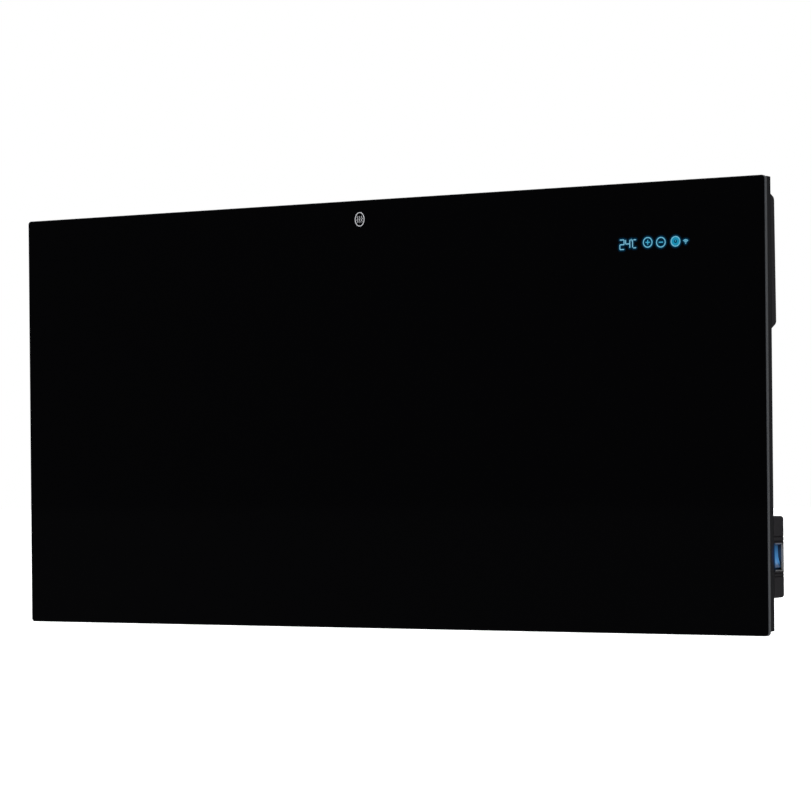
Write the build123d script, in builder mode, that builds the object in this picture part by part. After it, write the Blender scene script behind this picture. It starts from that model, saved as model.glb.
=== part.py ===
from build123d import *
from math import atan2, cos, degrees, radians, sin, sqrt
import os

# Infrared glass panel heater that hangs on a wall, in millimetres.
# X runs to the right, Y towards the wall and Z up. The wall is the plane y = 0, and the
# origin is the centre of the four wall-screw holes, straight behind the glass's centre.

# ---- Driving dimensions ----

PANEL_W = 1000.0  # the glass, which covers the whole front
PANEL_H = 500.0
GLASS_T = 6.0
GLASS_CORNER_R = 4.0
GLASS_EDGE = 0.4  # ground bevel round both faces of the glass

WALL_GAP = 32.0  # from the wall to the back of the steel pan
PAN_DEPTH = 11.5
PAN_INSET = 1.0  # the glass overhangs the pan by this much at the sides and top
PAN_INSET_BOTTOM = 5.0
PAN_BEND_R = 1.2
PAN_FLANGE = 12.0  # the pan's rim folds inwards to carry the glass
SHEET = 1.0
SEAL_T = 1.0  # silicone between the pan's flange and the glass
SEAL_W = 8.0

RIB_W = 16.0  # stiffening ribs pressed outwards in the pan's back
RIB_RISE = 2.0
RIB_EDGE = 1.0

STRIP_W = 14.0  # carbon heating strips, laid across the back of the glass
STRIP_PITCH = 25.0
STRIP_ROWS = 17
FILM_T = 0.3
BUSBAR_W = 8.0
MICA_T = 0.6
FOIL_T = 0.2
STACK_GAP = 9.0  # from the inner sheets to the pan's flange
LEAD_CHANNEL = 33.0  # free strip along the pan's bottom, where the leads run

BRACKET_X = 220.0  # the two wall brackets stand this far either side of the middle
BRACKET_W = 40.0
BRACKET_T = 2.0
BRACKET_BEND_R = 3.0
SCREW_SPACING_Z = 260.0
WALL_SCREW_R = 3.25
HOOK_TOP_Z = 190.0  # tips of the upper and the lower hooks
HOOK_LOW_Z = -150.0
HOOK_REACH = 20.0  # front of a hook's lip, from the wall
HOOK_DEPTH = 14.0
CLEAT_W = 60.0
CLEAT_T = 1.5
CLEAT_BEND_R = 2.0
CLEAT_OVERLAP = 10.5  # how far a cleat's lip drops behind the hook's lip
CLEAT_GAP = 0.5
CLEAT_FOOT = 18.0

BUMPER_X = 440.0  # rubber bumpers that hold the bottom edge off the wall
BUMPER_Z = -226.0
BUMPER_R = 10.0

CONTROL_X = 264.0  # control box: its left end and its height range
CONTROL_LOW_Z = 84.6
CONTROL_TOP_Z = 230.3
CONTROL_DEPTH_TOP = 8.7
CONTROL_DEPTH_LOW = 11.4
CONTROL_BEVEL_TOP = 3.4  # how far each slanting wall leans in
CONTROL_BEVEL_LOW = 5.7
CONTROL_BEVEL_LEFT = 10.0
COVER_T = 2.0
COVER_ROUND = 5.0

POWER_X = 309.0  # power box: its left end and its height range
POWER_LOW_Z = -209.6
POWER_TOP_Z = -120.1
POWER_DEPTH = 28.6
POWER_ROUND = 3.5
POWER_T = 2.5

GROOVE_Z = (-142.6, -147.6, -182.7, -186.1)  # fine grooves above and below the switch
GROOVE_W = 1.4
GROOVE_DEPTH = 1.2

SCREW_R = 1.6  # screws that hold both covers to the pan
SCREW_HEAD_R = 3.3
SCREW_HEAD_H = 2.2
SCREW_BITE = 3.0  # from the pan's back to a screw's tip
SCREW_SLACK = 0.4
BOSS_R = 4.2
CONTROL_BOSS_FLOOR = 3.0
POWER_BOSS_FLOOR = 6.0
CONTROL_SCREW_X = (284.0, 478.0)
CONTROL_SCREW_Z = (108.0, 206.0)
POWER_SCREW_X = (319.5, 487.5)
POWER_SCREW_Z = (-198.5, -129.0)

VENT_W = 3.0  # slots that let room air through the covers
CONTROL_VENT_X = 350.0
CONTROL_VENT_LENGTH = 7.0
CONTROL_VENTS = 7
POWER_VENT_TOP_X = 365.0
POWER_VENT_LOW_X = 438.0
POWER_VENT_LENGTH = 14.0
POWER_VENT_PITCH = 8.0
POWER_VENTS = 7

WINDOW_W = 145.0  # opening in the pan for the touch board
WINDOW_H = 115.0
WINDOW_X = 372.5
WINDOW_Z = 157.5

BOARD_T = 1.6
TOUCH_BOARD_W = 130.0
TOUCH_BOARD_H = 66.0
TOUCH_BOARD_X = 371.0
TOUCH_BOARD_Z = 173.0
TOUCH_GAP = 2.1  # from the touch board to the glass
FRAME_WALL = 3.0  # frame round the touch board
FRAME_LEDGE = 2.0
KEY_RING_R = 4.2
KEY_RING_HOLE_R = 3.4
KEY_X = (358.9, 375.0, 392.7)  # plus, minus and power keys
KEY_Z = 182.3
DISPLAY_X = 334.5
DISPLAY_Z = 181.5
DISPLAY_W = 26.0
DISPLAY_H = 18.0

DUCT_X = 430.0
DUCT_W = 20.0
DUCT_DEPTH = 7.0
DUCT_T = 1.2
WIRE_R = 0.9
WIRE_PITCH = 2.6
WIRES = 4

SWITCH_Z = -165.1  # rocker switch in the right-hand side of the power box
SWITCH_Y = -20.2
SWITCH_FIT = 0.3  # the cover's opening is larger by this much
BEZEL_H = 30.8
BEZEL_W = 23.2
BEZEL_T = 2.0
BEZEL_PROUD = 0.5
BEZEL_CORNER_R = 1.2
BEZEL_EDGE = 0.5
BEZEL_SLOPE = 1.2  # the bezel slopes inwards to the rocker
HOUSING_H = 28.9
HOUSING_W = 20.8
HOUSING_T = 1.2
HOUSING_DEPTH = 24.0
HOUSING_FLOOR = 2.0
ROCKER_R = 12.9  # the rocker's ends are arcs about its pivot
ROCKER_W = 16.8
ROCKER_WALL = 2.0
PIVOT_DEPTH = 8.4  # pivot, behind the front of the bezel
PIVOT_R = 1.2
PIVOT_CLEARANCE = 0.05
FACE_EDGE = 5.0  # the two halves of the face meet in a shallow valley
FACE_DIP = 3.8
SKIRT_DEPTH = 4.0
SWING = 8.0  # either way from level; the switch is drawn switched on, its upper half pressed in
STEM_R = 2.4
STEM_LENGTH = 5.0
PLUNGER_R = 1.5
PLUNGER_SLACK = 0.1
PLUNGER_LENGTH = 9.0
LEVER_DEPTH = 10.8  # contact lever, behind the pivot
LEVER_ARM = 9.0
LEVER_W = 4.0
LEVER_T = 0.6
LEVER_BEND = 8.0
CONTACT_GAP = 0.2
BLADE_PITCH = 8.0
BLADE_W = 6.3
BLADE_T = 0.8
BLADE_LENGTH = 11.0

GLAND_X = 380.0  # cable gland under the power box
GLAND_Y = -18.0
GLAND_BORE_R = 3.6
GLAND_THREAD_R = 6.0
GLAND_HEX_R = 8.6
GLAND_FLANGE = 4.0
GLAND_CAP_R = 8.0
GLAND_CAP_H = 11.0
GLAND_FIT = 0.1

LEAD_R = 1.1
LEAD_HOLE_X = 322.0
LEAD_HOLE_Z = -185.0
LEAD_HOLE_R = 5.5
LEAD_SPACING = 3.6

ROUND_SIDES = 8  # flat sides of the small rounds inside the heater

# ---- Derived places ----

pan_back = -WALL_GAP
pan_front = pan_back - PAN_DEPTH
glass_back = pan_front - SEAL_T
film_back = glass_back + FILM_T
busbar_back = film_back + FILM_T
mica_back = busbar_back + MICA_T
foil_back = mica_back + FOIL_T

pan_w = PANEL_W - 2 * PAN_INSET
pan_right = pan_w / 2
pan_top = PANEL_H / 2 - PAN_INSET
pan_bottom = PAN_INSET_BOTTOM - PANEL_H / 2
pan_h = pan_top - pan_bottom
pan_mid = (pan_top + pan_bottom) / 2

sheet_right = pan_right - PAN_FLANGE - STACK_GAP
sheet_top = pan_top - PAN_FLANGE - STACK_GAP
sheet_bottom = pan_bottom + LEAD_CHANNEL
notch_left = CONTROL_X + 28.0
notch_bottom = CONTROL_LOW_Z + 12.0

control_screws = [(x, z) for x in CONTROL_SCREW_X for z in CONTROL_SCREW_Z]
power_screws = [(x, z) for x in POWER_SCREW_X for z in POWER_SCREW_Z]

pivot_x = pan_right + BEZEL_PROUD - PIVOT_DEPTH
bezel_back = pan_right + BEZEL_PROUD - BEZEL_T
housing_back = bezel_back - HOUSING_DEPTH

os.makedirs("parts", exist_ok=True)


def facing_front(y):
    """Plane at depth y: its x is +X, its y is +Z, and it extrudes to the front."""
    return Plane(origin=(0, y, 0), x_dir=(1, 0, 0), z_dir=(0, -1, 0))


def facing_right(x):
    """Plane at x: its x is +Y, its y is +Z, and it extrudes to the right."""
    return Plane(origin=(x, 0, 0), x_dir=(0, 1, 0), z_dir=(1, 0, 0))


def small_round(radius, mode=Mode.ADD):
    """Round of a fastener, a boss or a wire, drawn with a few flat sides."""
    RegularPolygon(radius, ROUND_SIDES, mode=mode)


def span(low, high, base, top):
    """Rectangle between two corners of the current sketch."""
    with Locations((low, base)):
        Rectangle(high - low, top - base, align=(Align.MIN, Align.MIN))


# ---- Glass front and the heating stack behind it ----

with BuildPart() as glass_panel:
    with BuildSketch(facing_front(glass_back)):
        RectangleRounded(PANEL_W, PANEL_H, GLASS_CORNER_R)
    extrude(amount=GLASS_T)
    glass_faces = glass_panel.faces().sort_by(Axis.Y)
    chamfer(glass_faces[0].edges() + glass_faces[-1].edges(), GLASS_EDGE)
glass_panel.part.label = "glass_panel"
export_step(glass_panel.part, "parts/glass_panel.step")

with BuildPart() as silicone_bead:
    with BuildSketch(facing_front(pan_front)):
        with Locations((0, pan_mid)):
            Rectangle(pan_w - 2 * SHEET, pan_h - 2 * SHEET)
            Rectangle(pan_w - 2 * SEAL_W, pan_h - 2 * SEAL_W, mode=Mode.SUBTRACT)
    extrude(amount=SEAL_T)
silicone_bead.part.label = "silicone_bead"
export_step(silicone_bead.part, "parts/silicone_bead.step")

# The strips in the upper part stop short of the corner that holds the touch board.
with BuildPart() as heating_strips:
    with BuildSketch(facing_front(film_back)):
        for row in range(STRIP_ROWS):
            strip_z = (row - (STRIP_ROWS - 1) / 2) * STRIP_PITCH
            strip_end = (notch_left if strip_z > notch_bottom else sheet_right) - BUSBAR_W
            span(BUSBAR_W - sheet_right, strip_end, strip_z - STRIP_W / 2, strip_z + STRIP_W / 2)
    extrude(amount=FILM_T)
heating_strips.part.label = "heating_strips"
export_step(heating_strips.part, "parts/heating_strips.step")

with BuildPart() as busbars:
    bar_low = sheet_bottom - BUSBAR_W
    bar_high = sheet_top - BUSBAR_W
    bar_step = notch_bottom - BUSBAR_W
    with BuildSketch(facing_front(busbar_back)):
        span(BUSBAR_W - sheet_right, 2 * BUSBAR_W - sheet_right, bar_low, bar_high)
        span(sheet_right - 2 * BUSBAR_W, sheet_right - BUSBAR_W, bar_low, bar_step)
        span(notch_left - 2 * BUSBAR_W, sheet_right - BUSBAR_W, bar_step - BUSBAR_W, bar_step)
        span(notch_left - 2 * BUSBAR_W, notch_left - BUSBAR_W, bar_step - BUSBAR_W, bar_high)
    extrude(amount=FILM_T)
busbars.part.label = "busbars"
export_step(busbars.part, "parts/busbars.step")


def stack_outline():
    """Outline of the inner sheets, without the touch board's corner and the slot for the leads."""
    span(-sheet_right, sheet_right, sheet_bottom, sheet_top)
    with Locations((sheet_right, sheet_top)):
        notch = (sheet_right - notch_left, sheet_top - notch_bottom)
        Rectangle(*notch, align=(Align.MAX, Align.MAX), mode=Mode.SUBTRACT)
    with Locations((LEAD_HOLE_X, sheet_bottom)):
        slot = (4 * LEAD_HOLE_R, LEAD_HOLE_Z + LEAD_HOLE_R - sheet_bottom)
        Rectangle(*slot, align=(Align.CENTER, Align.MIN), mode=Mode.SUBTRACT)


with BuildPart() as mica_sheet:
    with BuildSketch(facing_front(mica_back)):
        stack_outline()
    extrude(amount=MICA_T)
mica_sheet.part.label = "mica_sheet"
export_step(mica_sheet.part, "parts/mica_sheet.step")

with BuildPart() as reflector_foil:
    with BuildSketch(facing_front(foil_back)):
        stack_outline()
    extrude(amount=FOIL_T)
reflector_foil.part.label = "reflector_foil"
export_step(reflector_foil.part, "parts/reflector_foil.step")

# Pockets in its front hold the cut-out and the fuse, and small ones in its back clear the screws.
CUTOUT_R = 8.0
CUTOUT_H = 6.5
CUTOUT_PLACE = (90.0, -60.0)
FUSE_R = 3.0
FUSE_LENGTH = 14.0
FUSE_PLACE = (90.0, -110.0)
POCKET_GAP = 0.5

with BuildPart() as insulation_board:
    with BuildSketch(facing_front(pan_back - SHEET)):
        stack_outline()
    extrude(amount=pan_back - SHEET - foil_back)
    with BuildSketch(facing_front(foil_back)):
        with Locations(CUTOUT_PLACE):
            small_round(CUTOUT_R + POCKET_GAP)
        with Locations(FUSE_PLACE):
            Rectangle(FUSE_LENGTH + 2 * POCKET_GAP, 2 * (FUSE_R + POCKET_GAP))
    extrude(amount=-CUTOUT_H - POCKET_GAP, mode=Mode.SUBTRACT)
    with BuildSketch(facing_front(pan_back)):
        with Locations(*control_screws, *power_screws):
            small_round(SCREW_R + POCKET_GAP)
    extrude(amount=SCREW_BITE + POCKET_GAP, mode=Mode.SUBTRACT)
insulation_board.part.label = "insulation_board"
export_step(insulation_board.part, "parts/insulation_board.step")

with BuildPart() as thermal_cutout:
    with BuildSketch(facing_front(foil_back)):
        with Locations(CUTOUT_PLACE):
            small_round(CUTOUT_R)
    extrude(amount=-CUTOUT_H)
    chamfer(thermal_cutout.edges().group_by(Axis.Y)[-1], 1.5)
thermal_cutout.part.label = "thermal_cutout"
export_step(thermal_cutout.part, "parts/thermal_cutout.step")

with BuildPart() as thermal_fuse:
    fuse_x, fuse_z = FUSE_PLACE
    with BuildSketch(Plane(origin=(fuse_x, foil_back + FUSE_R, fuse_z), x_dir=(0, 1, 0), z_dir=(1, 0, 0))):
        small_round(FUSE_R)
    extrude(amount=FUSE_LENGTH / 2, both=True)
thermal_fuse.part.label = "thermal_fuse"
export_step(thermal_fuse.part, "parts/thermal_fuse.step")

# ---- Steel pan ----

# Two rows of ribs leave the brackets, the boxes and the duct free.
RIB_ROWS = (-140.0, 140.0)
RIB_OUTER = (-365.0, 190.0)  # centre and length of the ribs left of the left bracket
RIB_MIDDLE = (0.0, 360.0)

with BuildPart() as back_pan:
    with BuildSketch(facing_front(pan_back)):
        with Locations((0, pan_mid)):
            Rectangle(pan_w, pan_h)
    extrude(amount=PAN_DEPTH)
    fillet(back_pan.faces().sort_by(Axis.Y)[-1].edges(), PAN_BEND_R)
    with BuildSketch(facing_front(pan_back - SHEET)):
        with Locations((0, pan_mid)):
            Rectangle(pan_w - 2 * SHEET, pan_h - 2 * SHEET)
    extrude(amount=PAN_DEPTH, mode=Mode.SUBTRACT)
    with BuildSketch(facing_front(pan_front + SHEET)):
        with Locations((0, pan_mid)):
            Rectangle(pan_w, pan_h)
            Rectangle(pan_w - 2 * PAN_FLANGE, pan_h - 2 * PAN_FLANGE, mode=Mode.SUBTRACT)
    extrude(amount=SHEET)
    with BuildSketch(facing_front(pan_back)) as rib_outlines:
        for rib_z in RIB_ROWS:
            for rib_x, rib_length in (RIB_OUTER, RIB_MIDDLE):
                with Locations((rib_x, rib_z)):
                    SlotOverall(rib_length, RIB_W)
    extrude(amount=-RIB_RISE)
    chamfer(back_pan.edges().group_by(Axis.Y)[-1], RIB_EDGE)
    with BuildSketch(facing_front(pan_back + RIB_RISE - SHEET)):
        add(rib_outlines.sketch_local)
        offset(amount=-SHEET, mode=Mode.REPLACE)
    extrude(amount=RIB_RISE, mode=Mode.SUBTRACT)
    with BuildSketch(facing_front(pan_back)):
        with Locations((WINDOW_X, WINDOW_Z)):
            Rectangle(WINDOW_W, WINDOW_H)
        with Locations((LEAD_HOLE_X, LEAD_HOLE_Z)):
            small_round(LEAD_HOLE_R)
        with Locations(*control_screws, *power_screws):
            small_round(SCREW_R)
    extrude(amount=SHEET, mode=Mode.SUBTRACT)
back_pan.part.label = "back_pan"
export_step(back_pan.part, "parts/back_pan.step")

with BuildPart() as lead_grommet:
    with BuildSketch(facing_front(pan_back)):
        with Locations((LEAD_HOLE_X, LEAD_HOLE_Z)):
            small_round(LEAD_HOLE_R + 2)
            small_round(LEAD_HOLE_R - 1.2, mode=Mode.SUBTRACT)
    extrude(amount=-1.5)
    with BuildSketch(facing_front(pan_back)):
        with Locations((LEAD_HOLE_X, LEAD_HOLE_Z)):
            small_round(LEAD_HOLE_R)
            small_round(LEAD_HOLE_R - 1.2, mode=Mode.SUBTRACT)
    extrude(amount=SHEET)
lead_grommet.part.label = "lead_grommet"
export_step(lead_grommet.part, "parts/lead_grommet.step")

# ---- Hanging: two brackets on the wall, four cleats on the pan, two bumpers ----

# A cleat is a Z of folded steel. Its web rests on the tip of a hook, and its lip drops
# behind the hook's lip, so the heater lifts off once it is raised by the overlap.
with BuildPart() as hanger_cleats:
    lip_back = -HOOK_REACH + BRACKET_T + CLEAT_GAP + CLEAT_T
    for cleat_x in (-BRACKET_X, BRACKET_X):
        for tip_z in (HOOK_LOW_Z, HOOK_TOP_Z):
            with BuildSketch(facing_right(cleat_x - CLEAT_W / 2)):
                with BuildLine():
                    FilletPolyline(
                        (pan_back, tip_z - CLEAT_FOOT),
                        (pan_back, tip_z + CLEAT_T),
                        (lip_back, tip_z + CLEAT_T),
                        (lip_back, tip_z - CLEAT_OVERLAP),
                        radius=CLEAT_BEND_R,
                    )
                    offset(amount=CLEAT_T, side=Side.RIGHT)
                make_face()
            extrude(amount=CLEAT_W)
hanger_cleats.part.label = "hanger_cleats"
export_step(hanger_cleats.part, "parts/hanger_cleats.step")

for side, side_x in (("left", -BRACKET_X), ("right", BRACKET_X)):
    with BuildPart() as wall_bracket:
        with BuildSketch(facing_right(side_x - BRACKET_W / 2)):
            with BuildLine():
                FilletPolyline(
                    (-HOOK_REACH, HOOK_LOW_Z),
                    (-HOOK_REACH, HOOK_LOW_Z - HOOK_DEPTH),
                    (0, HOOK_LOW_Z - HOOK_DEPTH),
                    (0, HOOK_TOP_Z - HOOK_DEPTH),
                    (BRACKET_T - HOOK_REACH, HOOK_TOP_Z - HOOK_DEPTH),
                    (BRACKET_T - HOOK_REACH, HOOK_TOP_Z),
                    radius=BRACKET_BEND_R,
                )
                offset(amount=BRACKET_T, side=Side.LEFT)
            make_face()
        extrude(amount=BRACKET_W)
        with BuildSketch(facing_front(0)):
            with Locations((side_x, 0)):
                with GridLocations(BRACKET_W, SCREW_SPACING_Z, 1, 2):
                    Circle(WALL_SCREW_R)
        extrude(amount=BRACKET_T, mode=Mode.SUBTRACT)
    wall_bracket.part.label = f"wall_bracket_{side}"
    export_step(wall_bracket.part, f"parts/wall_bracket_{side}.step")

with BuildPart() as wall_bumpers:
    with BuildSketch(facing_front(pan_back)):
        with Locations((-BUMPER_X, BUMPER_Z), (BUMPER_X, BUMPER_Z)):
            RegularPolygon(BUMPER_R, 2 * ROUND_SIDES)
    extrude(amount=-WALL_GAP)
    chamfer(wall_bumpers.edges().group_by(Axis.Y)[-1], 1.5)
wall_bumpers.part.label = "wall_bumpers"
export_step(wall_bumpers.part, "parts/wall_bumpers.step")

# ---- Control box: bevelled cover, touch board and its parts ----


def control_form(wall):
    """Slanting form of the control cover, or of its hollow when a wall is given."""
    slant_wall = 1.2 * wall
    rear_low = (pan_back + CONTROL_DEPTH_LOW - wall, CONTROL_LOW_Z + CONTROL_BEVEL_LOW + wall)
    rear_top = (pan_back + CONTROL_DEPTH_TOP - wall, CONTROL_TOP_Z - CONTROL_BEVEL_TOP - wall)
    base_low = (pan_back, CONTROL_LOW_Z + slant_wall)
    base_top = (pan_back, CONTROL_TOP_Z - slant_wall)
    with BuildPart() as form:
        with BuildSketch(facing_right(CONTROL_X)):
            with BuildLine():
                Polyline(base_low, rear_low, rear_top, base_top, close=True)
            make_face()
        extrude(amount=pan_right - wall - CONTROL_X)
        inward = (CONTROL_DEPTH_LOW, -CONTROL_BEVEL_LEFT, 0)
        split(bisect_by=Plane(origin=(CONTROL_X + slant_wall, pan_back, 0), z_dir=inward))
    return form.part


def control_depth(z):
    """Depth of the control cover at height z, from the pan to the cover's sloping back."""
    flat_low = CONTROL_LOW_Z + CONTROL_BEVEL_LOW
    flat_top = CONTROL_TOP_Z - CONTROL_BEVEL_TOP
    share = (z - flat_low) / (flat_top - flat_low)
    return CONTROL_DEPTH_LOW + share * (CONTROL_DEPTH_TOP - CONTROL_DEPTH_LOW)


control_outer = control_form(0)
control_hollow = control_form(COVER_T)
with BuildPart() as control_cover:
    add(control_outer)
    back_edges = control_cover.faces().sort_by(Axis.Y)[-1].edges()
    fillet(back_edges.filter_by(Axis.X), COVER_ROUND)
    add(control_hollow, mode=Mode.SUBTRACT)
    for screw_x, screw_z in control_screws:
        with BuildSketch(facing_front(pan_back)):
            with Locations((screw_x, screw_z)):
                small_round(BOSS_R)
        extrude(amount=COVER_T / 2 - control_depth(screw_z))
    with BuildSketch(facing_front(pan_back)):
        with Locations(*control_screws):
            small_round(SCREW_R + SCREW_SLACK)
    extrude(amount=-CONTROL_DEPTH_LOW, mode=Mode.SUBTRACT)
    with BuildSketch(facing_front(pan_back + CONTROL_BOSS_FLOOR)):
        with Locations(*control_screws):
            small_round(SCREW_HEAD_R + SCREW_SLACK)
    extrude(amount=-CONTROL_DEPTH_LOW, mode=Mode.SUBTRACT)
    with BuildSketch(Plane.XY.offset(CONTROL_LOW_Z)):
        with Locations((DUCT_X, pan_back)):
            Rectangle(DUCT_W, 2 * DUCT_DEPTH)
        with Locations((CONTROL_VENT_X, pan_back + CONTROL_VENT_LENGTH / 2 + COVER_T)):
            with GridLocations(2.5 * VENT_W, CONTROL_VENT_LENGTH, CONTROL_VENTS, 1):
                Rectangle(VENT_W, CONTROL_VENT_LENGTH)
    extrude(amount=CONTROL_BEVEL_LOW + COVER_T, mode=Mode.SUBTRACT)
control_cover.part.label = "control_cover"
export_step(control_cover.part, "parts/control_cover.step")


def pan_head_screws(places, seat_y):
    """Screws driven from the back, with their heads seated at seat_y."""
    with BuildPart() as screws:
        with BuildSketch(facing_front(seat_y)):
            with Locations(*places):
                small_round(SCREW_HEAD_R)
        extrude(amount=-SCREW_HEAD_H)
        chamfer(screws.edges().group_by(Axis.Y)[-1], SCREW_HEAD_H / 3)
        with BuildSketch(facing_front(seat_y)):
            with Locations(*places):
                small_round(SCREW_R)
        extrude(amount=seat_y - pan_back + SCREW_BITE)
    return screws


control_cover_screws = pan_head_screws(control_screws, pan_back + CONTROL_BOSS_FLOOR)
control_cover_screws.part.label = "control_cover_screws"
export_step(control_cover_screws.part, "parts/control_cover_screws.step")

touch_front = glass_back + TOUCH_GAP
touch_back = touch_front + BOARD_T

with BuildPart() as touch_board:
    with BuildSketch(facing_front(touch_back)):
        with Locations((TOUCH_BOARD_X, TOUCH_BOARD_Z)):
            Rectangle(TOUCH_BOARD_W, TOUCH_BOARD_H)
    extrude(amount=BOARD_T)
touch_board.part.label = "touch_board"
export_step(touch_board.part, "parts/touch_board.step")

# The frame is glued to the glass and holds the board's edge in a rebate.
with BuildPart() as touch_board_frame:
    with BuildSketch(facing_front(touch_back)):
        with Locations((TOUCH_BOARD_X, TOUCH_BOARD_Z)):
            Rectangle(TOUCH_BOARD_W + 2 * FRAME_WALL, TOUCH_BOARD_H + 2 * FRAME_WALL)
            Rectangle(TOUCH_BOARD_W, TOUCH_BOARD_H, mode=Mode.SUBTRACT)
    extrude(amount=BOARD_T)
    with BuildSketch(facing_front(touch_front)):
        with Locations((TOUCH_BOARD_X, TOUCH_BOARD_Z)):
            Rectangle(TOUCH_BOARD_W + 2 * FRAME_WALL, TOUCH_BOARD_H + 2 * FRAME_WALL)
            Rectangle(TOUCH_BOARD_W - 2 * FRAME_LEDGE, TOUCH_BOARD_H - 2 * FRAME_LEDGE, mode=Mode.SUBTRACT)
    extrude(amount=TOUCH_GAP)
touch_board_frame.part.label = "touch_board_frame"
export_step(touch_board_frame.part, "parts/touch_board_frame.step")

with BuildPart() as touch_springs:
    with BuildSketch(facing_front(touch_front)):
        with Locations(*[(key_x, KEY_Z) for key_x in KEY_X]):
            small_round(KEY_RING_R)
            small_round(KEY_RING_HOLE_R, mode=Mode.SUBTRACT)
    extrude(amount=TOUCH_GAP)
touch_springs.part.label = "touch_springs"
export_step(touch_springs.part, "parts/touch_springs.step")

with BuildPart() as display_module:
    with BuildSketch(facing_front(touch_front)):
        with Locations((DISPLAY_X, DISPLAY_Z)):
            Rectangle(DISPLAY_W, DISPLAY_H)
    extrude(amount=TOUCH_GAP)
display_module.part.label = "display_module"
export_step(display_module.part, "parts/display_module.step")

RADIO_X = TOUCH_BOARD_X - 40.0
RADIO_W = 18.0
RADIO_H = 25.0
RADIO_T = 1.0
RADIO_CAN_W = 15.0
RADIO_CAN_H = 17.0
RADIO_CAN_T = 2.2
RADIO_CAN_DROP = 3.0  # the can leaves the aerial's end of the little board free

with BuildPart() as radio_module:
    with BuildSketch(facing_front(touch_back)):
        with Locations((RADIO_X, TOUCH_BOARD_Z)):
            Rectangle(RADIO_W, RADIO_H)
    extrude(amount=-RADIO_T)
    with BuildSketch(facing_front(touch_back + RADIO_T)):
        with Locations((RADIO_X, TOUCH_BOARD_Z - RADIO_CAN_DROP)):
            Rectangle(RADIO_CAN_W, RADIO_CAN_H)
    extrude(amount=-RADIO_CAN_T)
radio_module.part.label = "radio_module"
export_step(radio_module.part, "parts/radio_module.step")

SENSOR_X = 462.0
SENSOR_Z = 100.0
SENSOR_W = 12.0
SENSOR_H = 8.0
SENSOR_BASE_T = 2.0
SENSOR_R = 2.2
SENSOR_TIP = 4.0

with BuildPart() as room_sensor:
    with BuildSketch(facing_front(pan_back)):
        with Locations((SENSOR_X, SENSOR_Z)):
            Rectangle(SENSOR_W, SENSOR_H)
    extrude(amount=-SENSOR_BASE_T)
    with BuildSketch(facing_front(pan_back + SENSOR_BASE_T)):
        with Locations((SENSOR_X, SENSOR_Z)):
            small_round(SENSOR_R)
    extrude(amount=-SENSOR_TIP)
    chamfer(room_sensor.faces().sort_by(Axis.Y)[-1].edges(), 0.8)
room_sensor.part.label = "room_sensor"
export_step(room_sensor.part, "parts/room_sensor.step")

# ---- Duct and the wires between the two boxes ----

PLUG_W = WIRES * WIRE_PITCH + 3.0
PLUG_H = 8.0
PLUG_T = 6.0
HARNESS_TOP_Z = 143.0
HARNESS_LOW_Z = -143.0
harness_duct_y = pan_back + 3.2
harness_board_y = touch_back + 3.0
POWER_BASE_T = 1.5
POST_H = 3.0
power_board_back = pan_back + POWER_BASE_T + POST_H + BOARD_T
harness_power_y = power_board_back + 3.0

with BuildPart() as cable_duct:
    with BuildSketch(Plane.XY.offset(POWER_TOP_Z - POWER_T)):
        with Locations((DUCT_X, pan_back)):
            Rectangle(DUCT_W, DUCT_DEPTH, align=(Align.CENTER, Align.MIN))
            duct_hollow = (DUCT_W - 2 * DUCT_T, DUCT_DEPTH - DUCT_T)
            Rectangle(*duct_hollow, align=(Align.CENTER, Align.MIN), mode=Mode.SUBTRACT)
    extrude(amount=CONTROL_LOW_Z + DUCT_DEPTH - POWER_TOP_Z + POWER_T)
    fillet(cable_duct.edges().filter_by(Axis.Z).group_by(Axis.Y)[-1], 0.8)
cable_duct.part.label = "cable_duct"
export_step(cable_duct.part, "parts/cable_duct.step")

with BuildPart() as wire_harness:
    with BuildLine(facing_right(DUCT_X)) as route:
        FilletPolyline(
            (harness_board_y, HARNESS_TOP_Z),
            (harness_board_y, HARNESS_TOP_Z - 12),
            (harness_duct_y, HARNESS_TOP_Z - 30),
            (harness_duct_y, HARNESS_LOW_Z + 18),
            (harness_power_y, HARNESS_LOW_Z + 8),
            (harness_power_y, HARNESS_LOW_Z),
            radius=8,
        )
    with BuildSketch(Plane(origin=(DUCT_X, harness_board_y, HARNESS_TOP_Z), z_dir=(0, 0, -1))):
        Rectangle(WIRES * WIRE_PITCH, 2 * WIRE_R)
    sweep(path=route.wire())
wire_harness.part.label = "wire_harness"
export_step(wire_harness.part, "parts/wire_harness.step")

with BuildPart() as harness_plugs:
    with BuildSketch(facing_front(touch_back)):
        with Locations((DUCT_X, HARNESS_TOP_Z)):
            Rectangle(PLUG_W, PLUG_H, align=(Align.CENTER, Align.MIN))
    extrude(amount=-PLUG_T)
    with BuildSketch(facing_front(power_board_back)):
        with Locations((DUCT_X, HARNESS_LOW_Z)):
            Rectangle(PLUG_W, PLUG_H, align=(Align.CENTER, Align.MAX))
    extrude(amount=-PLUG_T)
harness_plugs.part.label = "harness_plugs"
export_step(harness_plugs.part, "parts/harness_plugs.step")

# ---- Power box: base, board and what stands on it ----

BOARD_X = 388.0
BOARD_Z = -163.0
POWER_BOARD_W = 108.0
POWER_BOARD_H = 54.0
BASE_LEFT = 333.0
BASE_RIGHT = 466.0
BASE_TOP_GAP = 12.0  # the base leaves room for the earth stud above it
POST_R = 3.0
post_grid = (POWER_BOARD_W - 10.0, POWER_BOARD_H - 10.0)

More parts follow.
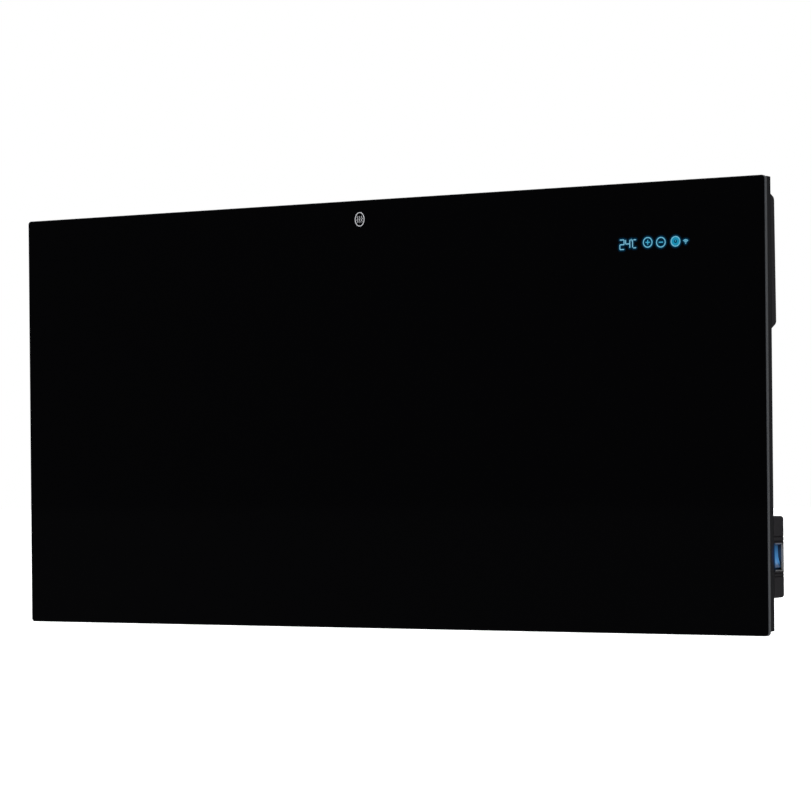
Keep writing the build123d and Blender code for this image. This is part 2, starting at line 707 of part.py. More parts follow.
with BuildPart() as power_base:
    with BuildSketch(facing_front(pan_back)):
        base_low = POWER_LOW_Z + POWER_T + POWER_BASE_T
        span(BASE_LEFT, BASE_RIGHT, base_low, POWER_TOP_Z - POWER_T - BASE_TOP_GAP)
    extrude(amount=-POWER_BASE_T)
    with BuildSketch(facing_front(pan_back + POWER_BASE_T)):
        with Locations((BOARD_X, BOARD_Z)):
            with GridLocations(*post_grid, 2, 2):
                small_round(POST_R)
    extrude(amount=-POST_H)
power_base.part.label = "power_base"
export_step(power_base.part, "parts/power_base.step")

with BuildPart() as power_board:
    with BuildSketch(facing_front(power_board_back)):
        with Locations((BOARD_X, BOARD_Z)):
            Rectangle(POWER_BOARD_W, POWER_BOARD_H)
    extrude(amount=BOARD_T)
power_board.part.label = "power_board"
export_step(power_board.part, "parts/power_board.step")

RELAY_PLACE = (BOARD_X - 15.0, BOARD_Z + 10.0)
RELAY_W = 19.0
RELAY_D = 15.5
RELAY_H = 15.4

with BuildPart() as relay:
    with BuildSketch(facing_front(power_board_back)):
        with Locations(RELAY_PLACE):
            Rectangle(RELAY_W, RELAY_D)
    extrude(amount=-RELAY_H)
    chamfer(relay.faces().sort_by(Axis.Y)[-1].edges(), 0.6)
relay.part.label = "relay"
export_step(relay.part, "parts/relay.step")

# Its winding stands out above and below the core.
TRANSFORMER_PLACE = (BOARD_X + 12.0, BOARD_Z - 10.0)
CORE_W = 22.0
CORE_D = 14.0
CORE_H = 13.0
WINDING_W = 16.0
WINDING_D = 19.0
WINDING_H = 7.0

with BuildPart() as transformer:
    with BuildSketch(facing_front(power_board_back)):
        with Locations(TRANSFORMER_PLACE):
            Rectangle(CORE_W, CORE_D)
    extrude(amount=-CORE_H)
    with BuildSketch(facing_front(power_board_back + (CORE_H - WINDING_H) / 2)):
        with Locations(TRANSFORMER_PLACE):
            Rectangle(WINDING_W, WINDING_D)
    extrude(amount=-WINDING_H)
transformer.part.label = "transformer"
export_step(transformer.part, "parts/transformer.step")

CAPACITOR_PLACE = (BOARD_X + 12.0, BOARD_Z + 14.0)
CAPACITOR_R = 5.0
CAPACITOR_H = 13.0

with BuildPart() as capacitor:
    with BuildSketch(facing_front(power_board_back)):
        with Locations(CAPACITOR_PLACE):
            small_round(CAPACITOR_R)
    extrude(amount=-CAPACITOR_H)
    chamfer(capacitor.faces().sort_by(Axis.Y)[-1].edges(), 0.8)
capacitor.part.label = "capacitor"
export_step(capacitor.part, "parts/capacitor.step")

LEAD_TERMINAL_X = BOARD_X - POWER_BOARD_W / 2 + 3.0
LEAD_TERMINAL_W = 9.0
LEAD_TERMINAL_H = 10.0

with BuildPart() as lead_terminal:
    with BuildSketch(facing_front(power_board_back)):
        with Locations((LEAD_TERMINAL_X, LEAD_HOLE_Z)):
            Rectangle(LEAD_TERMINAL_W, 2.4 * LEAD_SPACING, align=(Align.MIN, Align.CENTER))
    extrude(amount=-LEAD_TERMINAL_H)
    chamfer(lead_terminal.faces().sort_by(Axis.Y)[-1].edges().sort_by(Axis.X)[0], 2)
lead_terminal.part.label = "lead_terminal"
export_step(lead_terminal.part, "parts/lead_terminal.step")

SUPPLY_PLACE = (GLAND_X + 32.0, POWER_LOW_Z + POWER_T + 8.0)
SUPPLY_PITCH = 9.0
SUPPLY_WAYS = 3
SUPPLY_D = 11.0
SUPPLY_H = 14.0
SUPPLY_WELL_R = 2.6
SUPPLY_WELL_DEPTH = 4.0

with BuildPart() as supply_terminal:
    with BuildSketch(facing_front(pan_back + POWER_BASE_T)):
        with Locations(SUPPLY_PLACE):
            Rectangle(SUPPLY_WAYS * SUPPLY_PITCH, SUPPLY_D)
    extrude(amount=-SUPPLY_H)
    with BuildSketch(facing_front(pan_back + POWER_BASE_T + SUPPLY_H)):
        with Locations(SUPPLY_PLACE):
            with GridLocations(SUPPLY_PITCH, SUPPLY_PITCH, SUPPLY_WAYS, 1):
                small_round(SUPPLY_WELL_R)
    extrude(amount=SUPPLY_WELL_DEPTH, mode=Mode.SUBTRACT)
supply_terminal.part.label = "supply_terminal"
export_step(supply_terminal.part, "parts/supply_terminal.step")

EARTH_X = 452.0
EARTH_Z = -128.6
STUD_R = 2.0
STUD_LENGTH = 12.0
EARTH_NUT_R = 4.0
EARTH_NUT_H = 3.2

with BuildPart() as earth_stud:
    with BuildSketch(facing_front(pan_back)):
        with Locations((EARTH_X, EARTH_Z)):
            small_round(STUD_R)
    extrude(amount=-STUD_LENGTH)
earth_stud.part.label = "earth_stud"
export_step(earth_stud.part, "parts/earth_stud.step")

with BuildPart() as earth_nut:
    with BuildSketch(facing_front(pan_back)):
        with Locations((EARTH_X, EARTH_Z)):
            RegularPolygon(EARTH_NUT_R, 6)
            small_round(STUD_R, mode=Mode.SUBTRACT)
    extrude(amount=-EARTH_NUT_H)
earth_nut.part.label = "earth_nut"
export_step(earth_nut.part, "parts/earth_nut.step")

# The cover is flush with the pan's side, and its rear edges are rounded. The switch sits in
# a shallow recess between fine grooves.
with BuildPart() as power_cover:
    with BuildSketch(facing_front(pan_back)):
        span(POWER_X, pan_right, POWER_LOW_Z, POWER_TOP_Z)
    extrude(amount=-POWER_DEPTH)
    rounded = power_cover.faces().sort_by(Axis.Y)[-1].edges() + power_cover.edges().filter_by(Axis.Y)
    fillet(rounded, POWER_ROUND)
    with BuildSketch(facing_front(pan_back)):
        span(POWER_X + POWER_T, pan_right - POWER_T, POWER_LOW_Z + POWER_T, POWER_TOP_Z - POWER_T)
    extrude(amount=POWER_T - POWER_DEPTH, mode=Mode.SUBTRACT)
    with BuildSketch(facing_front(pan_back)):
        with Locations(*power_screws):
            small_round(BOSS_R)
    extrude(amount=-(POWER_DEPTH - POWER_T / 2))
    with BuildSketch(facing_front(pan_back)):
        with Locations(*power_screws):
            small_round(SCREW_R + SCREW_SLACK)
    extrude(amount=-POWER_DEPTH, mode=Mode.SUBTRACT)
    with BuildSketch(facing_front(pan_back + POWER_BOSS_FLOOR)):
        with Locations(*power_screws):
            small_round(SCREW_HEAD_R + SCREW_SLACK)
    extrude(amount=-POWER_DEPTH, mode=Mode.SUBTRACT)
    with BuildSketch(facing_right(pan_right)):
        with Locations((SWITCH_Y, SWITCH_Z)):
            Rectangle(BEZEL_W + SWITCH_FIT, BEZEL_H + SWITCH_FIT)
    extrude(amount=bezel_back - pan_right, mode=Mode.SUBTRACT)
    with BuildSketch(facing_right(pan_right)):
        with Locations((SWITCH_Y, SWITCH_Z)):
            Rectangle(HOUSING_W + SWITCH_FIT, HOUSING_H + SWITCH_FIT)
    extrude(amount=-3 * POWER_T, mode=Mode.SUBTRACT)
    with BuildSketch(facing_right(pan_right)):
        with Locations(*[(pan_back + POWER_DEPTH / 2, groove_z) for groove_z in GROOVE_Z]):
            Rectangle(POWER_DEPTH, GROOVE_W)
    extrude(amount=-GROOVE_DEPTH, mode=Mode.SUBTRACT)
    with BuildSketch(Plane.XY.offset(POWER_TOP_Z)):
        with Locations((DUCT_X, pan_back)):
            Rectangle(DUCT_W, 2 * DUCT_DEPTH)
        with Locations((POWER_VENT_TOP_X, pan_back + POWER_DEPTH / 2)):
            with GridLocations(POWER_VENT_PITCH, POWER_DEPTH, POWER_VENTS, 1):
                Rectangle(VENT_W, POWER_VENT_LENGTH)
    extrude(amount=-POWER_T, mode=Mode.SUBTRACT)
    with BuildSketch(Plane.XY.offset(POWER_LOW_Z)):
        with Locations((GLAND_X, GLAND_Y)):
            RegularPolygon(GLAND_THREAD_R + GLAND_FIT, 2 * ROUND_SIDES)
        with Locations((POWER_VENT_LOW_X, pan_back + POWER_DEPTH / 2)):
            with GridLocations(POWER_VENT_PITCH, POWER_DEPTH, POWER_VENTS, 1):
                Rectangle(VENT_W, POWER_VENT_LENGTH)
    extrude(amount=POWER_T, mode=Mode.SUBTRACT)
power_cover.part.label = "power_cover"
export_step(power_cover.part, "parts/power_cover.step")

power_cover_screws = pan_head_screws(power_screws, pan_back + POWER_BOSS_FLOOR)
power_cover_screws.part.label = "power_cover_screws"
export_step(power_cover_screws.part, "parts/power_cover_screws.step")

# ---- Leads from the busbars through the pan to the board ----

LEAD_RUN_Z = sheet_bottom - BUSBAR_W + 1.0
LEAD_BEND_R = 4.0
lead_y = busbar_back + LEAD_R
lead_board_y = power_board_back + 4.0

with BuildPart() as element_leads:
    for sign in (-1, 1):
        bar_x = sign * (sheet_right - 1.5 * BUSBAR_W)
        hole_x = LEAD_HOLE_X + sign * LEAD_SPACING / 2
        hole_z = LEAD_HOLE_Z - sign * LEAD_SPACING / 2
        with BuildLine() as route:
            FilletPolyline(
                (bar_x, lead_y, LEAD_RUN_Z),
                (hole_x, lead_y, LEAD_RUN_Z),
                (hole_x, lead_y, hole_z),
                (hole_x, lead_board_y, hole_z),
                (LEAD_TERMINAL_X, lead_board_y, hole_z),
                radius=LEAD_BEND_R,
            )
        with BuildSketch(Plane(origin=(bar_x, lead_y, LEAD_RUN_Z), z_dir=(-sign, 0, 0))):
            Rectangle(2 * LEAD_R, 1.6 * LEAD_R)
        sweep(path=route.wire())
element_leads.part.label = "element_leads"
export_step(element_leads.part, "parts/element_leads.step")

# ---- Cable gland under the power box ----

GLAND_NUT_H = 4.0
GLAND_SEAL_H = 4.4
SEAL_RING_R = 6.0
gland_flange_z = POWER_LOW_Z - GLAND_FLANGE
gland_seal_top_z = gland_flange_z - 0.35 * GLAND_CAP_H
gland_seal_low_z = gland_seal_top_z - GLAND_SEAL_H
gland_tip_z = gland_flange_z - GLAND_CAP_H
gland_inner_z = POWER_LOW_Z + POWER_T + GLAND_NUT_H + 1.0


def gland_plane(z):
    """Horizontal plane centred on the gland's axis."""
    return Plane(origin=(GLAND_X, GLAND_Y, z))


with BuildPart() as gland_body:
    with BuildSketch(gland_plane(gland_flange_z)):
        RegularPolygon(GLAND_HEX_R, 6)
    extrude(amount=GLAND_FLANGE)
    with BuildSketch(gland_plane(POWER_LOW_Z)):
        RegularPolygon(GLAND_THREAD_R, 2 * ROUND_SIDES)
    extrude(amount=gland_inner_z - POWER_LOW_Z)
    with BuildSketch(gland_plane(gland_flange_z)):
        RegularPolygon(SEAL_RING_R, 2 * ROUND_SIDES)
    extrude(amount=gland_seal_top_z - gland_flange_z)
    with BuildSketch(gland_plane(gland_tip_z)):
        Circle(GLAND_BORE_R)
    extrude(amount=gland_inner_z - gland_tip_z, mode=Mode.SUBTRACT)
gland_body.part.label = "gland_body"
export_step(gland_body.part, "parts/gland_body.step")

with BuildPart() as gland_seal:
    with BuildSketch(gland_plane(gland_seal_top_z)):
        RegularPolygon(SEAL_RING_R, 2 * ROUND_SIDES)
        Circle(GLAND_BORE_R, mode=Mode.SUBTRACT)
    extrude(amount=-GLAND_SEAL_H)
gland_seal.part.label = "gland_seal"
export_step(gland_seal.part, "parts/gland_seal.step")

with BuildPart() as gland_cap:
    with BuildSketch(gland_plane(gland_flange_z)):
        RegularPolygon(GLAND_CAP_R, 2 * ROUND_SIDES)
    extrude(amount=-GLAND_CAP_H)
    chamfer(gland_cap.edges().group_by(Axis.Z)[0], 2.5)
    with BuildSketch(gland_plane(gland_flange_z)):
        RegularPolygon(SEAL_RING_R, 2 * ROUND_SIDES)
    extrude(amount=gland_seal_low_z - gland_flange_z, mode=Mode.SUBTRACT)
    with BuildSketch(gland_plane(gland_tip_z)):
        Circle(GLAND_BORE_R)
    extrude(amount=GLAND_CAP_H, mode=Mode.SUBTRACT)
gland_cap.part.label = "gland_cap"
export_step(gland_cap.part, "parts/gland_cap.step")

with BuildPart() as gland_locknut:
    with BuildSketch(gland_plane(POWER_LOW_Z + POWER_T)):
        RegularPolygon(GLAND_HEX_R, 6)
        RegularPolygon(GLAND_THREAD_R, 2 * ROUND_SIDES, mode=Mode.SUBTRACT)
    extrude(amount=GLAND_NUT_H)
gland_locknut.part.label = "gland_locknut"
export_step(gland_locknut.part, "parts/gland_locknut.step")

# ---- Rocker switch ----

with BuildPart() as switch_housing:
    with BuildSketch(facing_right(bezel_back)):
        with Locations((SWITCH_Y, SWITCH_Z)):
            RectangleRounded(BEZEL_W, BEZEL_H, BEZEL_CORNER_R)
    extrude(amount=BEZEL_T)
    chamfer(switch_housing.faces().sort_by(Axis.X)[-1].edges(), BEZEL_EDGE)
    with BuildSketch(facing_right(housing_back)):
        with Locations((SWITCH_Y, SWITCH_Z)):
            Rectangle(HOUSING_W, HOUSING_H)
    extrude(amount=HOUSING_DEPTH)
    with BuildSketch(facing_right(housing_back + HOUSING_FLOOR)):
        with Locations((SWITCH_Y, SWITCH_Z)):
            Rectangle(HOUSING_W - 2 * HOUSING_T, HOUSING_H - 2 * HOUSING_T)
    extrude(amount=HOUSING_DEPTH + BEZEL_T, mode=Mode.SUBTRACT)
    chamfer(switch_housing.faces().sort_by(Axis.X)[-1].inner_wires()[0].edges(), BEZEL_SLOPE)
    with BuildSketch(Plane(origin=(pivot_x, SWITCH_Y, SWITCH_Z), x_dir=(1, 0, 0), z_dir=(0, -1, 0))):
        Circle(PIVOT_R + PIVOT_CLEARANCE)
    extrude(amount=HOUSING_W / 2, both=True, mode=Mode.SUBTRACT)
    with BuildSketch(facing_right(housing_back)):
        with Locations((SWITCH_Y, SWITCH_Z)):
            with GridLocations(HOUSING_W, BLADE_PITCH, 1, 3):
                Rectangle(BLADE_W, BLADE_T)
    extrude(amount=HOUSING_FLOOR, mode=Mode.SUBTRACT)
switch_housing.part.label = "switch_housing"
export_step(switch_housing.part, "parts/switch_housing.step")

tilt = radians(SWING)
rocker_out = (cos(tilt), 0, sin(tilt))
rocker_in = (-cos(tilt), 0, -sin(tilt))
rocker_centre = (pivot_x, SWITCH_Y, SWITCH_Z)
rocker_side = Plane(origin=rocker_centre, x_dir=rocker_out, z_dir=(0, -1, 0))
rocker_inward = Plane(origin=rocker_centre, x_dir=(0, 1, 0), z_dir=rocker_in)
face_angle = degrees(atan2(sqrt(ROCKER_R**2 - FACE_EDGE**2), FACE_EDGE))
skirt_angle = degrees(atan2(sqrt(ROCKER_R**2 - SKIRT_DEPTH**2), -SKIRT_DEPTH))

with BuildPart() as rocker:
    with BuildSketch(rocker_side):
        with BuildLine():
            upper_end = CenterArc((0, 0), ROCKER_R, face_angle, skirt_angle - face_angle)
            lower_end = CenterArc((0, 0), ROCKER_R, -skirt_angle, skirt_angle - face_angle)
            Polyline(upper_end @ 0, (FACE_DIP, 0), lower_end @ 1)
            Line(upper_end @ 1, lower_end @ 0)
        make_face()
    extrude(amount=ROCKER_W / 2, both=True)
    with BuildSketch(rocker_side):
        with Locations((FACE_DIP - ROCKER_WALL, 0)):
            hollow_h = 2 * (ROCKER_R - 1.4 * ROCKER_WALL)
            Rectangle(FACE_DIP + 2 * SKIRT_DEPTH, hollow_h, align=(Align.MAX, Align.CENTER))
    extrude(amount=ROCKER_W / 2 - ROCKER_WALL, both=True, mode=Mode.SUBTRACT)
    with BuildSketch(rocker_side):
        Circle(PIVOT_R)
    extrude(amount=HOUSING_W / 2 - HOUSING_T / 2, both=True)
    with BuildSketch(rocker_inward.offset(ROCKER_WALL - FACE_DIP)):
        small_round(STEM_R)
    extrude(amount=STEM_LENGTH + FACE_DIP - ROCKER_WALL)
    with BuildSketch(rocker_inward):
        small_round(PLUNGER_R + PLUNGER_SLACK)
    extrude(amount=STEM_LENGTH, mode=Mode.SUBTRACT)
rocker.part.label = "rocker"
export_step(rocker.part, "parts/rocker.step")

with BuildPart() as rocker_plunger:
    with BuildSketch(rocker_inward):
        small_round(PLUNGER_R)
    extrude(amount=PLUNGER_LENGTH + PLUNGER_R)
    chamfer(rocker_plunger.faces().sort_by(Axis.X)[0].edges(), PLUNGER_R / 2)
rocker_plunger.part.label = "rocker_plunger"
export_step(rocker_plunger.part, "parts/rocker_plunger.step")

# The contact lever rocks the other way on the middle blade, on a bead along its axis. Its two
# arms form a shallow V, and with the switch on its lower arm lies flat against the lower blade.
lever_x = pivot_x - LEVER_DEPTH - LEVER_T
lever_tilt = radians(LEVER_BEND)
lever_plane = Plane(
    origin=(lever_x, SWITCH_Y, SWITCH_Z), x_dir=(cos(lever_tilt), 0, -sin(lever_tilt)), z_dir=(0, -1, 0)
)
arm_rise = LEVER_ARM * sin(lever_tilt)
arm_reach = LEVER_ARM * cos(lever_tilt)

with BuildPart() as contact_lever:
    with BuildSketch(lever_plane):
        with BuildLine():
            Polyline((arm_rise, arm_reach), (0, 0), (arm_rise, -arm_reach))
            offset(amount=LEVER_T, side=Side.LEFT)
        make_face()
        Circle(LEVER_T)
    extrude(amount=LEVER_W / 2, both=True)
contact_lever.part.label = "contact_lever"
export_step(contact_lever.part, "parts/contact_lever.step")

blade_tips = (lever_x - CONTACT_GAP, lever_x - LEVER_T - CONTACT_GAP, housing_back + HOUSING_FLOOR + 1.5)

with BuildPart() as switch_terminals:
    for blade, blade_tip in enumerate(blade_tips, start=-1):
        with BuildSketch(facing_right(housing_back - BLADE_LENGTH)):
            with Locations((SWITCH_Y, SWITCH_Z + blade * BLADE_PITCH)):
                Rectangle(BLADE_W, BLADE_T)
        extrude(amount=blade_tip - housing_back + BLADE_LENGTH)
switch_terminals.part.label = "switch_terminals"
export_step(switch_terminals.part, "parts/switch_terminals.step")

# Square wires run from the supply terminal to the switch, the board and the earth stud, and back
# from the switch to the board. Each list gives a wire's corners.
MAINS_W = 1.8
MAINS_BEND_R = 3.0
EARTH_WIRE_LIFT = 1.1  # the earth wire's middle, clear of the nut's top
BOARD_LANDING_X = BOARD_X + POWER_BOARD_W / 2 - 8.0
supply_x, supply_z = SUPPLY_PLACE
supply_top_z = supply_z + SUPPLY_D / 2
supply_y = pan_back + POWER_BASE_T + 0.8 * SUPPLY_H
blade_end_x = housing_back - BLADE_LENGTH
earth_wire_y = pan_back + EARTH_NUT_H + EARTH_WIRE_LIFT
low_blade_z = SWITCH_Z - BLADE_PITCH
high_blade_z = SWITCH_Z + BLADE_PITCH
board_way_x = supply_x - SUPPLY_PITCH
switch_way_x = supply_x + SUPPLY_PITCH
mains_routes = [
    [
        (switch_way_x, SWITCH_Y, supply_top_z),
        (switch_way_x, SWITCH_Y, low_blade_z - BLADE_PITCH),
        (switch_way_x + 2 * SUPPLY_PITCH, SWITCH_Y, SWITCH_Z),
        (blade_end_x, SWITCH_Y, SWITCH_Z),
    ],
    [
        (blade_end_x, SWITCH_Y, low_blade_z),
        (BOARD_LANDING_X, SWITCH_Y, low_blade_z),
        (BOARD_LANDING_X, power_board_back, low_blade_z),
    ],
    [
        (blade_end_x, SWITCH_Y, high_blade_z),
        (BOARD_LANDING_X, SWITCH_Y, high_blade_z),
        (BOARD_LANDING_X, power_board_back, high_blade_z),
    ],
    [
        (board_way_x, supply_y, supply_top_z),
        (board_way_x, supply_y, supply_top_z + 2.2 * MAINS_BEND_R),
        (board_way_x, power_board_back, supply_top_z + 2.2 * MAINS_BEND_R),
    ],
    [
        (supply_x + SUPPLY_WAYS * SUPPLY_PITCH / 2, earth_wire_y, supply_z),
        (EARTH_X, earth_wire_y, supply_z),
        (EARTH_X, earth_wire_y, EARTH_Z - STUD_R),
    ],
]

with BuildPart() as mains_wires:
    for corners in mains_routes:
        with BuildLine() as route:
            FilletPolyline(*corners, radius=MAINS_BEND_R)
        wire_start = Vector(corners[0])
        with BuildSketch(Plane(origin=wire_start, z_dir=Vector(corners[1]) - wire_start)):
            Rectangle(MAINS_W, MAINS_W)
        sweep(path=route.wire())
mains_wires.part.label = "mains_wires"
export_step(mains_wires.part, "parts/mains_wires.step")

LAMP_OFFSET = 6.4  # the lamp stands beside the contact lever
LAMP_R = 1.5
LAMP_LENGTH = 6.0

with BuildPart() as switch_lamp:
    with BuildSketch(facing_right(housing_back + HOUSING_FLOOR)):
        with Locations((SWITCH_Y + LAMP_OFFSET, SWITCH_Z)):
            small_round(LAMP_R)
    extrude(amount=LAMP_LENGTH)
    chamfer(switch_lamp.faces().sort_by(Axis.X)[-1].edges(), 0.7)
switch_lamp.part.label = "switch_lamp"
export_step(switch_lamp.part, "parts/switch_lamp.step")
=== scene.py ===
"""Infrared glass panel heater on its two wall brackets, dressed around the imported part.

X runs to the right, Y towards the wall and Z up, in metres. The wall is the plane y = 0.
"""

import bpy
import numpy as np
from mathutils import Matrix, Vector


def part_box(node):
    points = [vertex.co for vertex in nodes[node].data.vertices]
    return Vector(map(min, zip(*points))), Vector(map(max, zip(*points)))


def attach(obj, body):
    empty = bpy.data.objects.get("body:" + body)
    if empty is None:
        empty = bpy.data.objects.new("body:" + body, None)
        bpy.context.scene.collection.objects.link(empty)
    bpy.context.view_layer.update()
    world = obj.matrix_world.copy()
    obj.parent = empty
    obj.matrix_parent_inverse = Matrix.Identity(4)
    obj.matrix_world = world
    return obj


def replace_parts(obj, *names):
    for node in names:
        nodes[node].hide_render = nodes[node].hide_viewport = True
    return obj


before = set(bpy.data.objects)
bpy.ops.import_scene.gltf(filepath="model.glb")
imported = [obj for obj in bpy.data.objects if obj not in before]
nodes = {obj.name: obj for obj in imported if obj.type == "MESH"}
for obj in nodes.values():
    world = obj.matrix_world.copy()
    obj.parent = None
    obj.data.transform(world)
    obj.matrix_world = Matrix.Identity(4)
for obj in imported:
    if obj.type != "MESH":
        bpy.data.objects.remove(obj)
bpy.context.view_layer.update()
scene = bpy.context.scene
scene.view_settings.view_transform = "Standard"

# ---- Studio ----
# The camera stands right of the heater at a height just under its middle and turns 30.6
# degrees to its left. A white room shows to the camera and in gloss, and softer light fills.

UPWARD = np.array([0.0, 0.0, 1.0])
CAMERA_PLACE = (1.8178, -3.0469, -0.0739)
CAMERA_YAW = 0.53408
CAMERA_ROLL = -0.00926
CAMERA_LENS = 133.18
CAMERA_SHIFT = 0.08755


def stand(name, data, right, up, back, place):
    """A camera or a lamp at a place, with unit vectors for its own right, up and backward."""
    axes = np.eye(4)
    axes[:3] = np.stack([right, up, back, place], axis=1)
    made = bpy.data.objects.new(name, data)
    made.matrix_world = Matrix(axes.tolist())
    scene.collection.objects.link(made)
    return made


camera_data = bpy.data.cameras.new("camera")
camera_data.sensor_width = 36.0
camera_data.lens = CAMERA_LENS
camera_data.shift_y = CAMERA_SHIFT
look = np.array([-np.sin(CAMERA_YAW), np.cos(CAMERA_YAW), 0.0])
level = np.cross(look, UPWARD)
upright = np.cross(level, look)
roll_cos, roll_sin = np.cos(CAMERA_ROLL), np.sin(CAMERA_ROLL)
scene.camera = stand("camera", camera_data, level * roll_cos + upright * roll_sin,
                     upright * roll_cos - level * roll_sin, -look, CAMERA_PLACE)


def feed(tree, node, sockets):
    """Gives each named or numbered socket of a node its value, or joins another node's output
    to it. A node in place of an output stands for its first one."""
    for key, given in sockets.items():
        socket = node.inputs[key]
        if isinstance(given, bpy.types.Node):
            given = given.outputs[0]
        if isinstance(given, bpy.types.NodeSocket):
            tree.links.new(given, socket)
        else:
            socket.default_value = (*given, 1.0) if socket.type == "RGBA" else given


def add(tree, kind, sockets=None, **settings):
    """A new shader node of one kind, with its settings made before its sockets are fed."""
    node = tree.nodes.new("ShaderNode" + kind)
    for name, value in settings.items():
        setattr(node, name, value)
    feed(tree, node, sockets or {})
    return node


def math_step(tree, operation, *values, clamp=False):
    """One sum or comparison of numbers and outputs."""
    return add(tree, "Math", dict(enumerate(values)), operation=operation, use_clamp=clamp)


def mixed(tree, share, under, over):
    """One shader where the share is 0 and another where it is 1."""
    return add(tree, "MixShader", {"Fac": share, 1: under, 2: over})


def seen_directly(tree):
    """1 for rays from the camera, from gloss and through glass, 0 for rays that light things."""
    rays = add(tree, "LightPath").outputs
    total = rays["Is Camera Ray"]
    for ray in ("Is Glossy Ray", "Is Transmission Ray"):
        total = math_step(tree, "ADD", total, rays[ray], clamp=True)
    return total


WHITE = (1.0, 1.0, 1.0)
FILL_TINT = (0.95, 0.97, 1.0)
FILL_STRENGTH = 0.42
world = bpy.data.worlds.new("room")
world.use_nodes = True
room = world.node_tree
room.nodes.clear()
white_room = add(room, "Background", {"Color": WHITE, "Strength": 1.0})
fill_light = add(room, "Background", {"Color": FILL_TINT, "Strength": FILL_STRENGTH})
add(room, "OutputWorld", {"Surface": mixed(room, seen_directly(room), fill_light, white_room)})
scene.world = world

SOFT_ANGLE = 0.5


def soft_sun(name, energy, tilt, turn):
    """A wide distant light from overhead, tilted about X and then turned about Z, in radians."""
    data = bpy.data.lights.new(name, "SUN")
    data.energy = energy
    data.angle = SOFT_ANGLE
    made = bpy.data.objects.new(name, data)
    made.rotation_euler = (tilt, 0.0, turn)
    scene.collection.objects.link(made)


soft_sun("high_soft_light", energy=1.7, tilt=0.80, turn=0.55)
soft_sun("rear_soft_light", energy=1.5, tilt=-0.85, turn=0.50)

# A narrow soft box at the right end glints on the slope inside the switch's bezel. It lights the
# switch alone, so that it leaves no bright patch in the glass.
SOFT_BOX_PLACE = np.array([2.52, -0.89, -0.20])
SOFT_BOX_AIM = np.array([0.497, -0.020, -0.165])
SOFT_BOX_SIZE = (0.40, 0.60)
SOFT_BOX_WATTS = 9.5


def unit(vectors):
    """The same directions with a length of 1."""
    return vectors / np.linalg.norm(vectors, axis=-1, keepdims=True)


box_data = bpy.data.lights.new("side_soft_box", "AREA")
box_data.shape = "RECTANGLE"
box_data.size, box_data.size_y = SOFT_BOX_SIZE
box_data.energy = SOFT_BOX_WATTS
box_back = unit(SOFT_BOX_PLACE - SOFT_BOX_AIM)
box_side = unit(np.cross(UPWARD, box_back))
soft_box = stand("side_soft_box", box_data, box_side, np.cross(box_back, box_side), box_back,
                 SOFT_BOX_PLACE)
under_soft_box = bpy.data.collections.new("under_soft_box")
under_soft_box.objects.link(nodes["switch_housing"])
soft_box.light_linking.receiver_collection = under_soft_box

# The floor is pale and far below a heater on a wall. It keeps the heater's shadow, and what it
# gives off to the camera lifts it to the room's white.
FLOOR_Z = -0.85
FLOOR_REACH = 60.0
FLOOR_GREY = (0.75, 0.75, 0.75)
FLOOR_GLOW = 0.62
floor_corners = [(x * FLOOR_REACH, y * FLOOR_REACH, FLOOR_Z)
                 for x, y in ((-1, -1), (1, -1), (1, 1), (-1, 1))]
floor_mesh = bpy.data.meshes.new("floor")
floor_mesh.from_pydata(floor_corners, [], [(0, 1, 2, 3)])
floor = bpy.data.objects.new("floor", floor_mesh)
scene.collection.objects.link(floor)
pale_floor = bpy.data.materials.new("pale_floor")
pale_floor.use_nodes = True
floor_tree = pale_floor.node_tree
floor_shader = floor_tree.nodes["Principled BSDF"]
floor_lift = math_step(floor_tree, "MULTIPLY", seen_directly(floor_tree), FLOOR_GLOW)
feed(floor_tree, floor_shader, {
    "Base Color": FLOOR_GREY, "Roughness": 0.9, "Specular IOR Level": 0.1,
    "Emission Color": WHITE, "Emission Strength": floor_lift})
# From below the floor is clear, so that the heater's underside can be seen too.
from_below = add(floor_tree, "NewGeometry").outputs["Backfacing"]
clear = add(floor_tree, "BsdfTransparent")
feed(floor_tree, floor_tree.nodes["Material Output"],
     {"Surface": mixed(floor_tree, from_below, floor_shader, clear)})
floor_mesh.materials.append(pale_floor)

# ---- Glass front ----
# One sheet of 6 mm tempered glass, enamelled black on its back, covers the whole front. Its
# edge is ground to a light satin bevel, and the sheet is glued to the steel pan's rim.

MM = 0.001
GLASS_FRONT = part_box("glass_panel")[0].y
GLASS_BLACK = (0.0003, 0.0003, 0.0005)
GLASS_SHADE = (0.0006, 0.0006, 0.0009)
GLASS_GLOSS = 0.010
EDGE_DARK = (0.020, 0.022, 0.025)
EDGE_LIGHT = (0.044, 0.047, 0.052)
EDGE_STREAKS = (60.0, 2400.0, 60.0)
FLAT_FROM = 0.95
DRIFT_GRAIN = 0.02


def object_place(tree):
    """The place on the object, in metres, which each pattern follows."""
    return add(tree, "TexCoord").outputs["Object"]


def part_along(tree, vector, axis):
    """A vector's part along X, Y or Z."""
    return add(tree, "SeparateXYZ", {0: vector}).outputs[axis]


def tinted(tree, share, colour, shade):
    """One colour where the share is 0 and another where it is 1. On this node the sockets 6 and
    7 and the output 2 are the ones for colours."""
    return add(tree, "Mix", {0: share, 6: colour, 7: shade}, data_type="RGBA").outputs[2]


